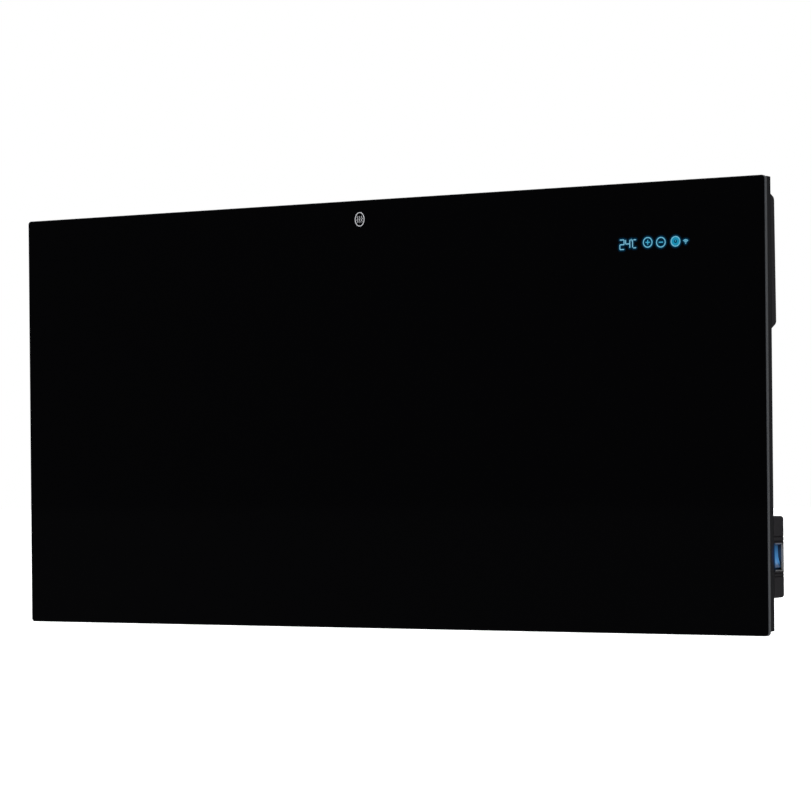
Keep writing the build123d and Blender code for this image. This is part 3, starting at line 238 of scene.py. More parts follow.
def finish(name, colour, shade, roughness, grain, bump, metallic=0.0, specular=0.5,
           rough_play=0.06):
    """Finish of one material. Noise of the given grain, per metre, and a far coarser drift lead
    its colour, in equal parts, to a second shade. The noise also moves its roughness by the play
    to either side, and raises a fine bump of the given height in millimetres."""
    made = bpy.data.materials.new(name)
    made.use_nodes = True
    tree = made.node_tree
    place = object_place(tree)
    noise = add(tree, "TexNoise",
                {"Vector": place, "Scale": grain, "Detail": 5.0, "Roughness": 0.6})
    drift = add(tree, "TexNoise", {"Vector": place, "Scale": grain * DRIFT_GRAIN, "Detail": 3.0})
    half_drift = math_step(tree, "MULTIPLY", drift, 0.5)
    share = math_step(tree, "MULTIPLY_ADD", noise, 0.5, half_drift)
    gloss = add(tree, "MapRange", {"Value": noise, "To Min": roughness - rough_play,
                                   "To Max": roughness + rough_play})
    relief = add(tree, "Bump", {"Height": noise, "Strength": 1.0, "Distance": bump * MM})
    feed(tree, tree.nodes["Principled BSDF"], {
        "Base Color": tinted(tree, share, colour, shade), "Roughness": gloss, "Normal": relief,
        "Metallic": metallic, "Specular IOR Level": specular})
    return made


def dress(material, *names):
    """Gives each named node that one finish in place of the plain one it came with."""
    for name in names:
        nodes[name].data.materials.clear()
        nodes[name].data.materials.append(material)


def deep_gloss(name):
    """The glass's own deep black gloss, with next to no grain."""
    return finish(name, GLASS_BLACK, GLASS_SHADE, roughness=0.035, grain=900.0, bump=0.0,
                  specular=GLASS_GLOSS, rough_play=0.01)


def black_glass():
    """Black glass: deep gloss on the two flat faces, and a light ground finish wherever the
    surface turns away from them, with fine grinding streaks along the edge."""
    made = deep_gloss("black_glass")
    tree = made.node_tree
    flat = tree.nodes["Principled BSDF"]
    flat.inputs["IOR"].default_value = 1.5
    drawn_out = add(tree, "Mapping", {"Vector": object_place(tree), "Scale": EDGE_STREAKS})
    streaks = add(tree, "TexNoise", {"Vector": drawn_out, "Scale": 1.0, "Detail": 4.0})
    ground = add(tree, "BsdfPrincipled", {
        "Base Color": tinted(tree, streaks, EDGE_DARK, EDGE_LIGHT), "Roughness": 0.42,
        "Specular IOR Level": 0.07})
    turn = part_along(tree, add(tree, "NewGeometry").outputs["True Normal"], "Y")
    is_flat = math_step(tree, "GREATER_THAN", math_step(tree, "ABSOLUTE", turn), FLAT_FROM)
    feed(tree, tree.nodes["Material Output"], {"Surface": mixed(tree, is_flat, ground, flat)})
    return made


dress(black_glass(), "glass_panel")
dress(finish("silicone", (0.030, 0.030, 0.031), (0.042, 0.042, 0.043),
             roughness=0.7, grain=700.0, bump=0.05), "silicone_bead")

# ---- Lit figures and keys ----
# Thin openings in the enamel, lit blue from behind: the temperature, the plus, minus and power
# keys and the radio link's fan. They are printed stencils, so each stroke is flat and even.

PRINT_PROUD = 0.08
PRINT_SUNK = 0.2


def tube_faces(steps, corners, closed):
    """Quads of a tube with so many corners in its section, and an open tube's two end caps."""
    at = np.arange(steps if closed else steps - 1)[:, None] * corners
    after = (at + corners) % (steps * corners)
    side = np.arange(corners)[None, :]
    next_side = (side + 1) % corners
    quads = np.stack([at + side, at + next_side, after + next_side, after + side], axis=-1)
    first = np.arange(corners)
    caps = () if closed else (first[::-1], first + (steps - 1) * corners)
    return quads.reshape(-1, 4), caps


def on_surface(place, right, up, out):
    """Points from distances in millimetres along the axes of a place: origin, right, up, out."""
    origin, along, above, away = (np.asarray(vector, float) for vector in place)
    right, up, out = (np.asarray(distance, float)[..., None] for distance in (right, up, out))
    return origin + MM * (right * along + up * above + out * away)


def band(path, half_widths, place, closed=False):
    """A flat bar on a surface. Its centreline is a path of x, y points in millimetres in the
    surface's own axes, and its section is a rectangle, half a width to each side of the path and
    from just under the surface to just above it."""
    path = np.asarray(path, float)
    if closed:
        ahead = unit(np.roll(path, -1, axis=0) - np.roll(path, 1, axis=0))
    else:
        ahead = unit(np.gradient(path, axis=0))
    side = np.stack([-ahead[:, 1], ahead[:, 0]], axis=1)
    half = np.broadcast_to(half_widths, len(path))[:, None]
    left, right = path + side * half, path - side * half
    flat = np.stack([right, left, left, right], axis=1)
    rise = [-PRINT_SUNK, -PRINT_SUNK, PRINT_PROUD, PRINT_PROUD]
    points = on_surface(place, flat[..., 0], flat[..., 1], rise).reshape(-1, 3)
    return points, *tube_faces(len(path), 4, closed)


def stroke(start, end, width, place):
    """A straight bar with round ends: its half width falls along a quarter circle at each end."""
    start, end = np.asarray(start, float), np.asarray(end, float)
    length = np.linalg.norm(end - start)
    turn = np.radians([15, 35, 60, 90])
    cap = width / 2 * (1 - np.cos(turn))
    half = width / 2 * np.sin(turn)
    between = np.linspace(cap[-1], length - cap[-1], 8)[1:-1]
    along = np.concatenate([cap, between, length - cap[::-1]])
    path = start + (end - start) / length * along[:, None]
    half_widths = np.concatenate([half, np.full(len(between), width / 2), half[::-1]])
    return band(path, half_widths, place)


def arc_path(centre, radii, start, end, steps):
    """Points of an arc, from one angle to another in degrees, anticlockwise from x. The radii
    are one for a circle, or one across and one up for an ellipse."""
    turn = np.radians(np.linspace(start, end, steps, endpoint=abs(end - start) < 360))
    across, up = np.broadcast_to(radii, 2)
    return np.stack([centre[0] + across * np.cos(turn), centre[1] + up * np.sin(turn)], axis=1)


def ring(centre, radii, width, steps, place):
    """A closed band of one width along a whole circle or ellipse."""
    return band(arc_path(centre, radii, 0, 360, steps), width / 2, place, closed=True)


def outward(points, quads, caps):
    """The same faces, turned over if the volume that they enclose comes out negative: the sum of
    a . (b x c) over the fan of triangles of every face, with the points taken from their middle."""
    fans = [quads[:, :3], quads[:, [0, 2, 3]]]
    fans += [np.stack([np.full(len(cap) - 2, cap[0]), cap[1:-1], cap[2:]], axis=1) for cap in caps]
    a, b, c = (points - points.mean(axis=0))[np.concatenate(fans)].transpose(1, 0, 2)
    if np.einsum("ij,ij->", a, np.cross(b, c)) > 0:
        return quads, caps
    return quads[:, ::-1], [cap[::-1] for cap in caps]


def piece(name, parts, material, body, sharp=None):
    """One named piece of closed surfaces, each with its points, quads and caps, on the body that
    carries it. With a sharp angle in degrees it is shaded smooth up to that angle."""
    faces, start = [], 0
    for points, quads, caps in parts:
        quads, caps = outward(points, quads, caps)
        faces += (quads + start).tolist() + [(cap + start).tolist() for cap in caps]
        start += len(points)
    mesh = bpy.data.meshes.new(name)
    mesh.from_pydata(np.concatenate([part[0] for part in parts]).tolist(), [], faces)
    mesh.materials.append(material)
    if sharp is not None:
        mesh.shade_smooth()
        mesh.set_sharp_from_angle(angle=np.radians(sharp))
    made = bpy.data.objects.new(name, mesh)
    scene.collection.objects.link(made)
    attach(made, body)
    return made


GLOW_GRAIN = 700.0
GLOW_PLAY = 0.3


def glow(name, colour, strength=1.0, base=(0.004, 0.012, 0.018)):
    """Lit stencil: steady light that varies a little in fine specks, on a dark gloss base."""
    made = finish(name, base, tuple(0.8 * part for part in base), roughness=0.2, grain=1600.0,
                  bump=0.0, specular=0.05)
    tree = made.node_tree
    specks = add(tree, "TexNoise", {"Vector": object_place(tree), "Scale": GLOW_GRAIN})
    light = add(tree, "MapRange", {"Value": specks, "To Min": (1 - GLOW_PLAY) * strength,
                                   "To Max": (1 + GLOW_PLAY) * strength})
    feed(tree, tree.nodes["Principled BSDF"],
         {"Emission Color": colour, "Emission Strength": light})
    return made


glass_place = ((0.0, GLASS_FRONT, 0.0), (1, 0, 0), (0, 0, 1), (0, -1, 0))
figure_blue = glow("figure_blue", (0.20, 0.52, 0.68))
ring_blue = glow("ring_blue", (0.14, 0.46, 0.62))
sign_blue = glow("sign_blue", (0.05, 0.38, 0.58))
power_teal = glow("power_teal", (0.004, 0.24, 0.40))
lit_pieces = []


def lit(name, parts, material):
    """A lit piece on the glass, kept in mind for the light that leaks round it."""
    lit_pieces.append(piece(name, parts, material, "heater"))


# A figure has seven bars, named as on any such display: a on top, then clockwise b to f, and g.
# Each row is a figure's left and low side, its width and height, and the bars that are lit.
TEMPERATURE = ((324.7, 176.7, 5.2, 10.6, "abged"), (331.8, 178.1, 5.2, 8.9, "fgbc"))
FIGURE_STROKE = 1.0


def figure(left, low, width, tall, bars):
    """The lit bars of one seven-bar figure, each from one corner or middle of a side to another."""
    w, h = width, tall
    ends = {"a": ((0, h), (w, h)), "b": ((w, h), (w, h / 2)), "c": ((w, h / 2), (w, 0)),
            "d": ((0, 0), (w, 0)), "e": ((0, 0), (0, h / 2)), "f": ((0, h / 2), (0, h)),
            "g": ((0, h / 2), (w, h / 2))}
    corner = np.array([left, low])
    return [stroke(corner + ends[bar][0], corner + ends[bar][1], FIGURE_STROKE, glass_place)
            for bar in bars]


lit("temperature_figures", [bar for row in TEMPERATURE for bar in figure(*row)], figure_blue)

DEGREE = (339.0, 186.7)
DEGREE_R = 0.9
DEGREE_STROKE = 0.5
CELSIUS_BARS = (((344.8, 186.8), (341.4, 186.8)), ((340.4, 186.4), (340.4, 178.4)),
                ((341.0, 177.9), (344.6, 177.9)))
celsius = [stroke(start, end, FIGURE_STROKE, glass_place) for start, end in CELSIUS_BARS]
lit("degree_and_scale", [ring(DEGREE, DEGREE_R, DEGREE_STROKE, 20, glass_place)] + celsius,
    figure_blue)

PLUS = (359.0, 183.2)
MINUS = (375.1, 182.6)
POWER = (392.9, 182.7)
KEY_R = 5.3
KEY_STROKE = 1.1
SIGN_HALF = 2.7
KEY_STEPS = 72
lit("key_rings", [ring(centre, KEY_R, KEY_STROKE, KEY_STEPS, glass_place)
                  for centre in (PLUS, MINUS, POWER)], ring_blue)


def sign_bar(centre, low, high, width, upright_bar):
    """One bar of a sign, from one distance to another from a key's centre, upright or level."""
    along = np.array([0.0, 1.0] if upright_bar else [1.0, 0.0])
    return stroke(centre + low * along, centre + high * along, width, glass_place)


lit("plus_and_minus", [sign_bar(centre, -SIGN_HALF, SIGN_HALF, KEY_STROKE, upright_bar)
                       for centre, upright_bar in ((PLUS, False), (PLUS, True), (MINUS, False))],
    sign_blue)

# A wide ring fills the power key, round a short tick.
POWER_DISC_R = 3.3
POWER_DISC_STROKE = 2.8
TICK_LOW = -0.5
TICK_HIGH = 1.4
TICK_STROKE = 0.9
lit("power_disc", [ring(POWER, POWER_DISC_R, POWER_DISC_STROKE, KEY_STEPS, glass_place)],
    power_teal)
lit("power_tick", [sign_bar(POWER, TICK_LOW, TICK_HIGH, TICK_STROKE, True)], sign_blue)

FAN = (405.2, 180.1)
FAN_RADII = (1.5, 2.7, 3.9)
FAN_FROM, FAN_TO = 44, 136
FAN_HALF_STROKE = 0.42
FAN_DOT_R = 0.3
FAN_DOT_STROKE = 0.58
fan_arcs = [band(arc_path(FAN, radius, FAN_FROM, FAN_TO, 16), FAN_HALF_STROKE, glass_place)
            for radius in FAN_RADII]
fan_dot = [ring(FAN, FAN_DOT_R, FAN_DOT_STROKE, 16, glass_place)]
lit("radio_link_fan", fan_arcs + fan_dot, ring_blue)

# Behind the openings some light leaks through the thin enamel round each stroke.
BLEED_LOW = (318.0, 170.0)
BLEED_HIGH = (412.0, 194.0)
BLEED_STEP = 0.6
BLEED_REACH = 1.25
BLEED_PROUD = 0.03
BLEED_BLUE = (0.0, 0.040, 0.090)


def slab(front, back):
    """A closed plate between two grids of points with the same rows and columns: the front's
    quads, the back's the other way round, and quads from rim to rim."""
    rows, columns = front.shape[:2]
    at = np.arange(rows * columns).reshape(rows, columns)
    quads = np.stack([at[:-1, :-1], at[:-1, 1:], at[1:, 1:], at[1:, :-1]], axis=-1).reshape(-1, 4)
    rim = np.concatenate([at[0, :-1], at[:-1, -1], at[-1, :0:-1], at[:0:-1, 0]])
    rim_next = np.roll(rim, -1)
    sides = np.stack([rim, rim + at.size, rim_next + at.size, rim_next], axis=-1)
    points = np.concatenate([front.reshape(-1, 3), back.reshape(-1, 3)])
    return points, np.concatenate([quads, quads[:, ::-1] + at.size, sides]), ()


def plan_points(mesh):
    """The x and z of every point of a mesh, in millimetres."""
    flat = np.empty(3 * len(mesh.vertices), np.float32)
    mesh.vertices.foreach_get("co", flat)
    return flat.reshape(-1, 3)[:, [0, 2]] / MM


bleed_x, bleed_z = np.meshgrid(*(np.arange(low, high, BLEED_STEP)
                                 for low, high in zip(BLEED_LOW, BLEED_HIGH)))
film = slab(on_surface(glass_place, bleed_x, bleed_z, BLEED_PROUD),
            on_surface(glass_place, bleed_x, bleed_z, -PRINT_SUNK))
lit_enamel = deep_gloss("enamel_over_lights")
enamel = piece("enamel_over_lights", [film], lit_enamel, "heater")
# The leak is exp(-(d / reach) squared), with d the distance to the nearest point of a stroke.
lit_points = np.concatenate([plan_points(made.data) for made in lit_pieces])
gaps = plan_points(enamel.data)[:, None, :] - lit_points[None, :, :]
to_stroke = np.sqrt((gaps ** 2).sum(axis=2).min(axis=1))
leak = np.exp(-(to_stroke / BLEED_REACH) ** 2).astype(np.float32)
enamel.data.attributes.new("leak", "FLOAT", "POINT").data.foreach_set("value", leak)
enamel_tree = lit_enamel.node_tree
leak_value = add(enamel_tree, "Attribute", attribute_name="leak").outputs["Fac"]
feed(enamel_tree, enamel_tree.nodes["Principled BSDF"],
     {"Emission Color": BLEED_BLUE, "Emission Strength": leak_value})

# ---- Printed mark ----
# A small upright oval at the top centre of the glass, round three plain heat waves. It is
# screen-printed in white enamel and fired, so it stands a hair's breadth above the glass.

MARK = (-14.0, 227.9)
MARK_RADII = (6.1, 7.9)
MARK_STROKE = 1.05
WAVE_GAP = 2.9
WAVE_STROKE = 0.62
WAVE_HALF = 3.6
WAVE_SWAY = 0.8
WAVE_TURN = 1.75
white_enamel = finish("white_enamel", (0.60, 0.60, 0.62), (0.46, 0.46, 0.48),
                      roughness=0.45, grain=2500.0, bump=0.01)
# A wave sways to either side by the sine of its height times WAVE_TURN, in radians.
wave_rise = np.linspace(-WAVE_HALF, WAVE_HALF, 25)
wave_sway = WAVE_SWAY * np.sin(wave_rise * WAVE_TURN)
heat_waves = [band(np.stack([MARK[0] + wave_x + wave_sway, MARK[1] + wave_rise], axis=1),
                   WAVE_STROKE / 2, glass_place) for wave_x in (-WAVE_GAP, 0.0, WAVE_GAP)]
oval = ring(MARK, MARK_RADII, MARK_STROKE, 96, glass_place)
piece("printed_oval_mark", [oval] + heat_waves, white_enamel, "heater")

# ---- Heating stack ----
# Behind the glass lie carbon film strips, copper busbars, a mica sheet, foil and a board of
# mineral wool, pressed together by the pan. The cut-out and the fuse sit in pockets of the wool.

dress(finish("carbon_film", (0.018, 0.018, 0.019), (0.030, 0.029, 0.028),
             roughness=0.55, grain=1400.0, bump=0.02), "heating_strips")
copper = finish("copper", (0.72, 0.33, 0.18), (0.58, 0.24, 0.12),
                roughness=0.30, grain=500.0, bump=0.01, metallic=1.0)
dress(copper, "busbars")
dress(finish("mica", (0.42, 0.36, 0.27), (0.30, 0.25, 0.18),
             roughness=0.35, grain=160.0, bump=0.02), "mica_sheet")
dress(finish("foil", (0.80, 0.80, 0.81), (0.68, 0.69, 0.70),
             roughness=0.22, grain=220.0, bump=0.06, metallic=1.0), "reflector_foil")
dress(finish("mineral_wool", (0.52, 0.45, 0.30), (0.38, 0.32, 0.20),
             roughness=0.92, grain=380.0, bump=0.6), "insulation_board")
bright_steel = finish("bright_steel", (0.62, 0.62, 0.63), (0.50, 0.50, 0.52),
                      roughness=0.28, grain=900.0, bump=0.01, metallic=1.0)
dress(bright_steel, "thermal_cutout")
dress(finish("fuse_body", (0.62, 0.60, 0.55), (0.50, 0.48, 0.44),
             roughness=0.4, grain=800.0, bump=0.02), "thermal_fuse")

# ---- Steel pan ----
# One sheet of 1 mm steel, folded up on all four sides and in again to a rim, with two rows of
# pressed ribs. Its corners are welded, its four hanger cleats are spot-welded on, and all of it
# is powder-coated satin black, with the fine orange peel of that paint.

black_powder = finish("black_powder_coat", (0.009, 0.009, 0.010), (0.015, 0.015, 0.016),
                      roughness=0.50, grain=1100.0, bump=0.06, specular=0.004)
dress(black_powder, "back_pan", "hanger_cleats")


def on_back(x, y, z):
    """A place that faces the wall, at a point in millimetres: origin, right, up, out."""
    return (x * MM, y * MM, z * MM), (1, 0, 0), (0, 0, 1), (0, 1, 0)


def rounded(corners, radius, steps=5, closed=False):
    """Corner points joined by straight lines. Each corner c is cut back by the radius, to a and b,
    and bridged by the curve (1 - t)(1 - t) a + 2 t (1 - t) c + t t b."""
    corners = np.asarray(corners, float)
    back, ahead = np.roll(corners, 1, axis=0) - corners, np.roll(corners, -1, axis=0) - corners
    back_length = np.linalg.norm(back, axis=1, keepdims=True)
    ahead_length = np.linalg.norm(ahead, axis=1, keepdims=True)
    cut = np.minimum(radius, 0.48 * np.minimum(back_length, ahead_length))
    a, b = corners + back / back_length * cut, corners + ahead / ahead_length * cut
    t = np.linspace(0.0, 1.0, steps)[:, None, None]
    curve = (1 - t) ** 2 * a + 2 * t * (1 - t) * corners + t ** 2 * b
    path = curve.transpose(1, 0, 2).reshape(-1, 2)
    return path if closed else np.concatenate([corners[:1], path[steps:-steps], corners[-1:]])


def turned(profile, place, sides, swell=0.0, rise=0.0, closed=False):
    """A turned form: each point of the profile, a radius and a height in millimetres, goes once
    round the out axis of its place. swell is added to the radius and rise to the height, as
    numbers or as arrays with a row for each point and a column for each side."""
    profile = np.asarray(profile, float)
    angle = np.linspace(0.0, 2 * np.pi, sides, endpoint=False)[None, :]
    radius, height = profile[:, :1] + swell, profile[:, 1:] + rise
    points = on_surface(place, radius * np.cos(angle), radius * np.sin(angle), height)
    return points.reshape(-1, 3), *tube_faces(len(profile), sides, closed)


PAN_BACK = -32.0
CLEAT_X = (-220.0, 220.0)
HOOK_TIP_Z = (-150.0, 190.0)
CLEAT_T = 1.5
WELD_OFFSETS = (-24.0, 0.0, 24.0)
WELD_DROP = 14.2
# Radius and height of a spot weld from its rim, over its raised ring, to its sunken middle.
WELD_PROFILE = ((3.3, -0.4), (3.25, 0.0), (2.9, 0.16), (2.5, 0.20), (2.1, 0.12), (1.4, 0.02),
                (0.2, 0.0))
piece("cleat_spot_welds",
      [turned(WELD_PROFILE, on_back(x + offset, PAN_BACK + CLEAT_T, z - WELD_DROP), sides=28)
       for x in CLEAT_X for z in HOOK_TIP_Z for offset in WELD_OFFSETS],
      black_powder, "heater", sharp=50)

# The corner welds are rippled beads of filler. A bead's radius swings by a cosine along its
# length, and closes at both ends by the root of 1 less u to the 12th power, with u the distance
# from its middle as a share of half its length.
BEAD_R = 0.55
BEAD_RIPPLE = 0.07
BEAD_RIPPLES = 7
BEAD_END = 0.04
BEAD_INSET = 0.35
BEAD_FROM_RIM = 0.6
BEAD_FROM_BACK = 1.4
pan_low, pan_high = (np.array(corner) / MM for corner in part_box("back_pan"))
bead_at = np.linspace(0.0, 1.0, 57)
bead_start = pan_low[1] + BEAD_FROM_RIM
bead_length = PAN_BACK - BEAD_FROM_BACK - bead_start
bead_ends = np.sqrt(np.clip(1 - (2 * bead_at - 1) ** 12, BEAD_END, 1))
bead_radius = (BEAD_R + BEAD_RIPPLE * np.cos(2 * np.pi * BEAD_RIPPLES * bead_at)) * bead_ends
bead = np.stack([bead_radius, bead_length * bead_at], axis=1)
piece("pan_corner_welds",
      [turned(bead, on_back(x, bead_start, z), sides=12)
       for x in (pan_low[0] + BEAD_INSET, pan_high[0] - BEAD_INSET)
       for z in (pan_low[2] + BEAD_INSET, pan_high[2] - BEAD_INSET)],
      black_powder, "heater", sharp=60)

# ---- Rubber feet ----
# Two moulded rubber feet keep the heater's lower edge off the wall. Each has a waist, a lip and a
# deep well, in which a pan-head screw holds it to the pan.

black_rubber = finish("black_rubber", (0.012, 0.012, 0.012), (0.020, 0.020, 0.019),
                      roughness=0.75, grain=900.0, bump=0.04, specular=0.2)
FOOT_X = (-440.0, 440.0)
FOOT_Z = -226.0
FOOT_LENGTH = 32.0
FOOT_WELL = 22.0
FOOT_ROUNDING = 0.9
# Radius and height of a foot's corners: flange, waist, lip, and down the well to its floor.
FOOT_PROFILE = ((9.6, 0.0), (10.0, 0.5), (10.0, 3.2), (8.9, 5.4), (8.9, 27.0), (9.8, 29.0),
                (9.8, FOOT_LENGTH), (5.4, FOOT_LENGTH), (4.7, 31.0), (4.7, FOOT_WELL),
                (0.3, FOOT_WELL))
foot_profile = rounded(FOOT_PROFILE, FOOT_ROUNDING)
feet = piece("rubber_feet",
             [turned(foot_profile, on_back(x, PAN_BACK, FOOT_Z), sides=64) for x in FOOT_X],
             black_rubber, "heater", sharp=35)
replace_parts(feet, "wall_bumpers")

THREAD_PITCH = 1.1
THREAD_DEPTH = 0.32
THREAD_STEPS = 6
THREAD_GAP = 0.2
TIP_R = 0.25
TIP_LENGTH = 0.9
TIP_TAPER = 0.8
# The head's rim, shoulder and dome are shares of its radius and height. The recess has lengths
# in millimetres, and a depth that is a share of the head's height.
RIM_H = 0.42
SHOULDER_R = 0.86
SHOULDER_H = 0.80
HEAD_ROUNDING = 0.5
DOME_R = 0.84
DOME_FALL = 0.27
RECESS_LENGTH = 1.95
RECESS_WIDTH = 0.42
RECESS_SLOPE = 0.25
RECESS_DEPTH = 0.55


def cross_screw(place, head_r, head_h, shank_r, shank_length, sides=56):
    """A pan-head screw with its seat at height 0. A thread winds round its shank, where the radius
    falls from its crest by the depth times a saw tooth of height over pitch less the turn. The
    head is a dome, less a cross of two arms, full in the middle and sloping at their edges."""
    angle = np.linspace(0.0, 2 * np.pi, sides, endpoint=False)[None, :]
    tip = np.array([(TIP_R, -shank_length), (TIP_TAPER * shank_r, TIP_LENGTH - shank_length)])
    thread_z = np.arange(TIP_LENGTH + THREAD_GAP - shank_length, -THREAD_GAP,
                         THREAD_PITCH / THREAD_STEPS)
    thread = np.stack([np.full_like(thread_z, shank_r), thread_z], axis=1)
    edge = rounded([(shank_r, 0.0), (head_r, 0.0), (head_r, RIM_H * head_h),
                    (SHOULDER_R * head_r, SHOULDER_H * head_h)], HEAD_ROUNDING)
    dome_r = np.linspace(DOME_R * head_r, 0.05, 22)
    dome = np.stack([dome_r, head_h * (1 - DOME_FALL * (dome_r / head_r) ** 2)], axis=1)
    profile = np.concatenate([tip, thread, edge, dome])
    swell = np.zeros((len(profile), sides))
    turn = (thread_z[:, None] / THREAD_PITCH - angle / (2 * np.pi)) % 1.0
    swell[len(tip):len(tip) + len(thread)] = -THREAD_DEPTH * np.abs(2 * turn - 1)
    x, y = profile[:, :1] * np.cos(angle), profile[:, :1] * np.sin(angle)

    def arm(along, across):
        """1 well inside one arm of the cross, 0 outside it, on straight slopes between."""
        inside = np.clip((RECESS_WIDTH - np.abs(across)) / RECESS_SLOPE + 0.5, 0, 1)
        return inside * np.clip((RECESS_LENGTH - np.abs(along)) / (2 * RECESS_SLOPE), 0, 1)

    rise = -RECESS_DEPTH * head_h * np.maximum(arm(x, y), arm(y, x))
    rise[:len(profile) - len(dome)] = 0.0
    return turned(profile, place, sides, swell, rise)


FOOT_SCREW = {"head_r": 4.0, "head_h": 2.6, "shank_r": 2.0, "shank_length": 21.0}
piece("foot_screws",
      [cross_screw(on_back(x, PAN_BACK + FOOT_WELL, FOOT_Z), **FOOT_SCREW) for x in FOOT_X],
      bright_steel, "heater", sharp=30)

# ---- Wall brackets ----
# Two straps of 2 mm steel, bent to hooks and zinc-plated. Four screws hold them to the wall, and
# the cleats welded to the pan hang on them.

zinc = finish("zinc_plate", (0.40, 0.41, 0.43), (0.27, 0.28, 0.30),
              roughness=0.36, grain=420.0, bump=0.02, metallic=1.0, rough_play=0.12)
dress(zinc, "wall_bracket_left", "wall_bracket_right")

# ---- Covers ----
# Both boxes are moulded in black flame-proof plastic with a fine spark-eroded grain, and each
# cover is screwed to the pan through four deep wells.

black_plastic = finish("black_plastic", (0.014, 0.013, 0.014), (0.021, 0.020, 0.022),
                       roughness=0.56, grain=2600.0, bump=0.05, specular=0.007)
dress(black_plastic, "control_cover", "power_cover", "cable_duct", "touch_board_frame")
HEAD_R = 3.3
HEAD_H = 2.2
SHANK_R = 1.6
COVER_SCREWS = {"control_cover_screws": ((284.0, 478.0), (108.0, 206.0)),
                "power_cover_screws": ((319.5, 487.5), (-198.5, -129.0))}
for node, (screw_xs, screw_zs) in COVER_SCREWS.items():
    tip_y, top_y = (corner.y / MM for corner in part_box(node))
    seat_y = top_y - HEAD_H
    cover_screws = [cross_screw(on_back(x, seat_y, z), HEAD_R, HEAD_H, SHANK_R, seat_y - tip_y)
                    for x in screw_xs for z in screw_zs]
    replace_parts(piece(node + "_turned", cover_screws, bright_steel, "heater",
                      sharp=30), node)

# ---- Electronics ----
# The touch board sits behind the glass with its springs, display and radio. The power board
# stands on the base in the lower box with the relay, transformer, capacitor and terminals.

dress(finish("board_green", (0.02, 0.13, 0.06), (0.015, 0.09, 0.04),
             roughness=0.35, grain=600.0, bump=0.01), "touch_board", "power_board")
dress(copper, "touch_springs")
dress(finish("display_white", (0.70, 0.70, 0.68), (0.60, 0.60, 0.58),
             roughness=0.4, grain=900.0, bump=0.01), "display_module")
dress(bright_steel, "radio_module", "earth_stud", "earth_nut")
white_plastic = finish("white_plastic", (0.68, 0.67, 0.64), (0.58, 0.57, 0.54),
                       roughness=0.45, grain=1200.0, bump=0.02)
dress(white_plastic, "room_sensor", "harness_plugs")
dress(finish("grey_plastic", (0.20, 0.20, 0.21), (0.15, 0.15, 0.16),
             roughness=0.5, grain=1500.0, bump=0.03), "power_base")
dress(finish("wire_grey", (0.14, 0.14, 0.15), (0.10, 0.10, 0.11),
             roughness=0.45, grain=800.0, bump=0.03), "wire_harness", "mains_wires")
dress(finish("wire_red", (0.40, 0.03, 0.02), (0.30, 0.02, 0.015),
             roughness=0.4, grain=800.0, bump=0.03), "element_leads")
dress(black_rubber, "lead_grommet")
dress(finish("relay_blue", (0.02, 0.09, 0.30), (0.015, 0.07, 0.24),
             roughness=0.35, grain=900.0, bump=0.01), "relay")
dress(finish("yellow_tape", (0.60, 0.46, 0.05), (0.50, 0.37, 0.03),
             roughness=0.4, grain=700.0, bump=0.02), "transformer")
dress(finish("can_aluminium", (0.62, 0.63, 0.65), (0.50, 0.51, 0.53),
             roughness=0.3, grain=900.0, bump=0.01, metallic=1.0), "capacitor")
dress(finish("terminal_green", (0.03, 0.24, 0.10), (0.02, 0.18, 0.07),
             roughness=0.42, grain=900.0, bump=0.02), "lead_terminal", "supply_terminal")

# ---- Cable gland ----
# A black nylon gland through the underside of the lower box, with a dome nut that squeezes a
# rubber seal round the supply lead, and a locknut inside.

nylon = finish("black_nylon", (0.008, 0.008, 0.008), (0.014, 0.014, 0.015),
               roughness=0.38, grain=1200.0, bump=0.02, specular=0.2)
dress(nylon, "gland_body", "gland_locknut")
dress(black_rubber, "gland_seal")
GLAND_AT = (380.0, -18.0)
NUT_R = 7.9
NUT_H = 11.0
NUT_INNER_R = 6.0
NUT_THREAD_H = 8.25
NUT_BORE_R = 3.65
NUT_ROUNDING = 1.0
FLUTES = 20
FLUTE_DEPTH = 0.55
GRIP_INSET, GRIP_WIDTH = 0.4, 1.2
GRIP_TOP, GRIP_FADE = 8.2, 1.5
nut_sides = 8 * FLUTES
# The nut's corners: grip, dome, bore, the step over its thread, and its inner wall.
nut_profile = rounded([(NUT_R, 0.0), (NUT_R, 6.6), (NUT_R - 1.0, 9.2), (NUT_R - 2.9, NUT_H),
                       (NUT_BORE_R, NUT_H), (NUT_BORE_R, NUT_THREAD_H),
                       (NUT_INNER_R, NUT_THREAD_H), (NUT_INNER_R, 0.0)],
                      NUT_ROUNDING, steps=6, closed=True)
# Flutes sink into the grip: a cosine round the nut, in full only on the outer wall below the dome.
nut_angle = np.linspace(0.0, 2 * np.pi, nut_sides, endpoint=False)[None, :]
on_side = np.clip((nut_profile[:, :1] - NUT_INNER_R - GRIP_INSET) / GRIP_WIDTH, 0, 1)
below_dome = np.clip((GRIP_TOP - nut_profile[:, 1:]) / GRIP_FADE, 0, 1)
nut_swell = -FLUTE_DEPTH * (on_side * below_dome) * (0.5 - 0.5 * np.cos(FLUTES * nut_angle))
nut_top_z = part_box("gland_cap")[1].z
nut_place = ((GLAND_AT[0] * MM, GLAND_AT[1] * MM, nut_top_z), (1, 0, 0), (0, 1, 0), (0, 0, -1))
dome_nut = piece("gland_dome_nut",
                 [turned(nut_profile, nut_place, nut_sides, nut_swell, closed=True)],
                 nylon, "heater", sharp=40)
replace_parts(dome_nut, "gland_cap")

# ---- Rocker switch ----
# A snap-in mains switch with a glossy black bezel. Its rocker is a clear blue moulding, lit from
# inside while the heater is on, with a line and a ring printed in white on its two halves.

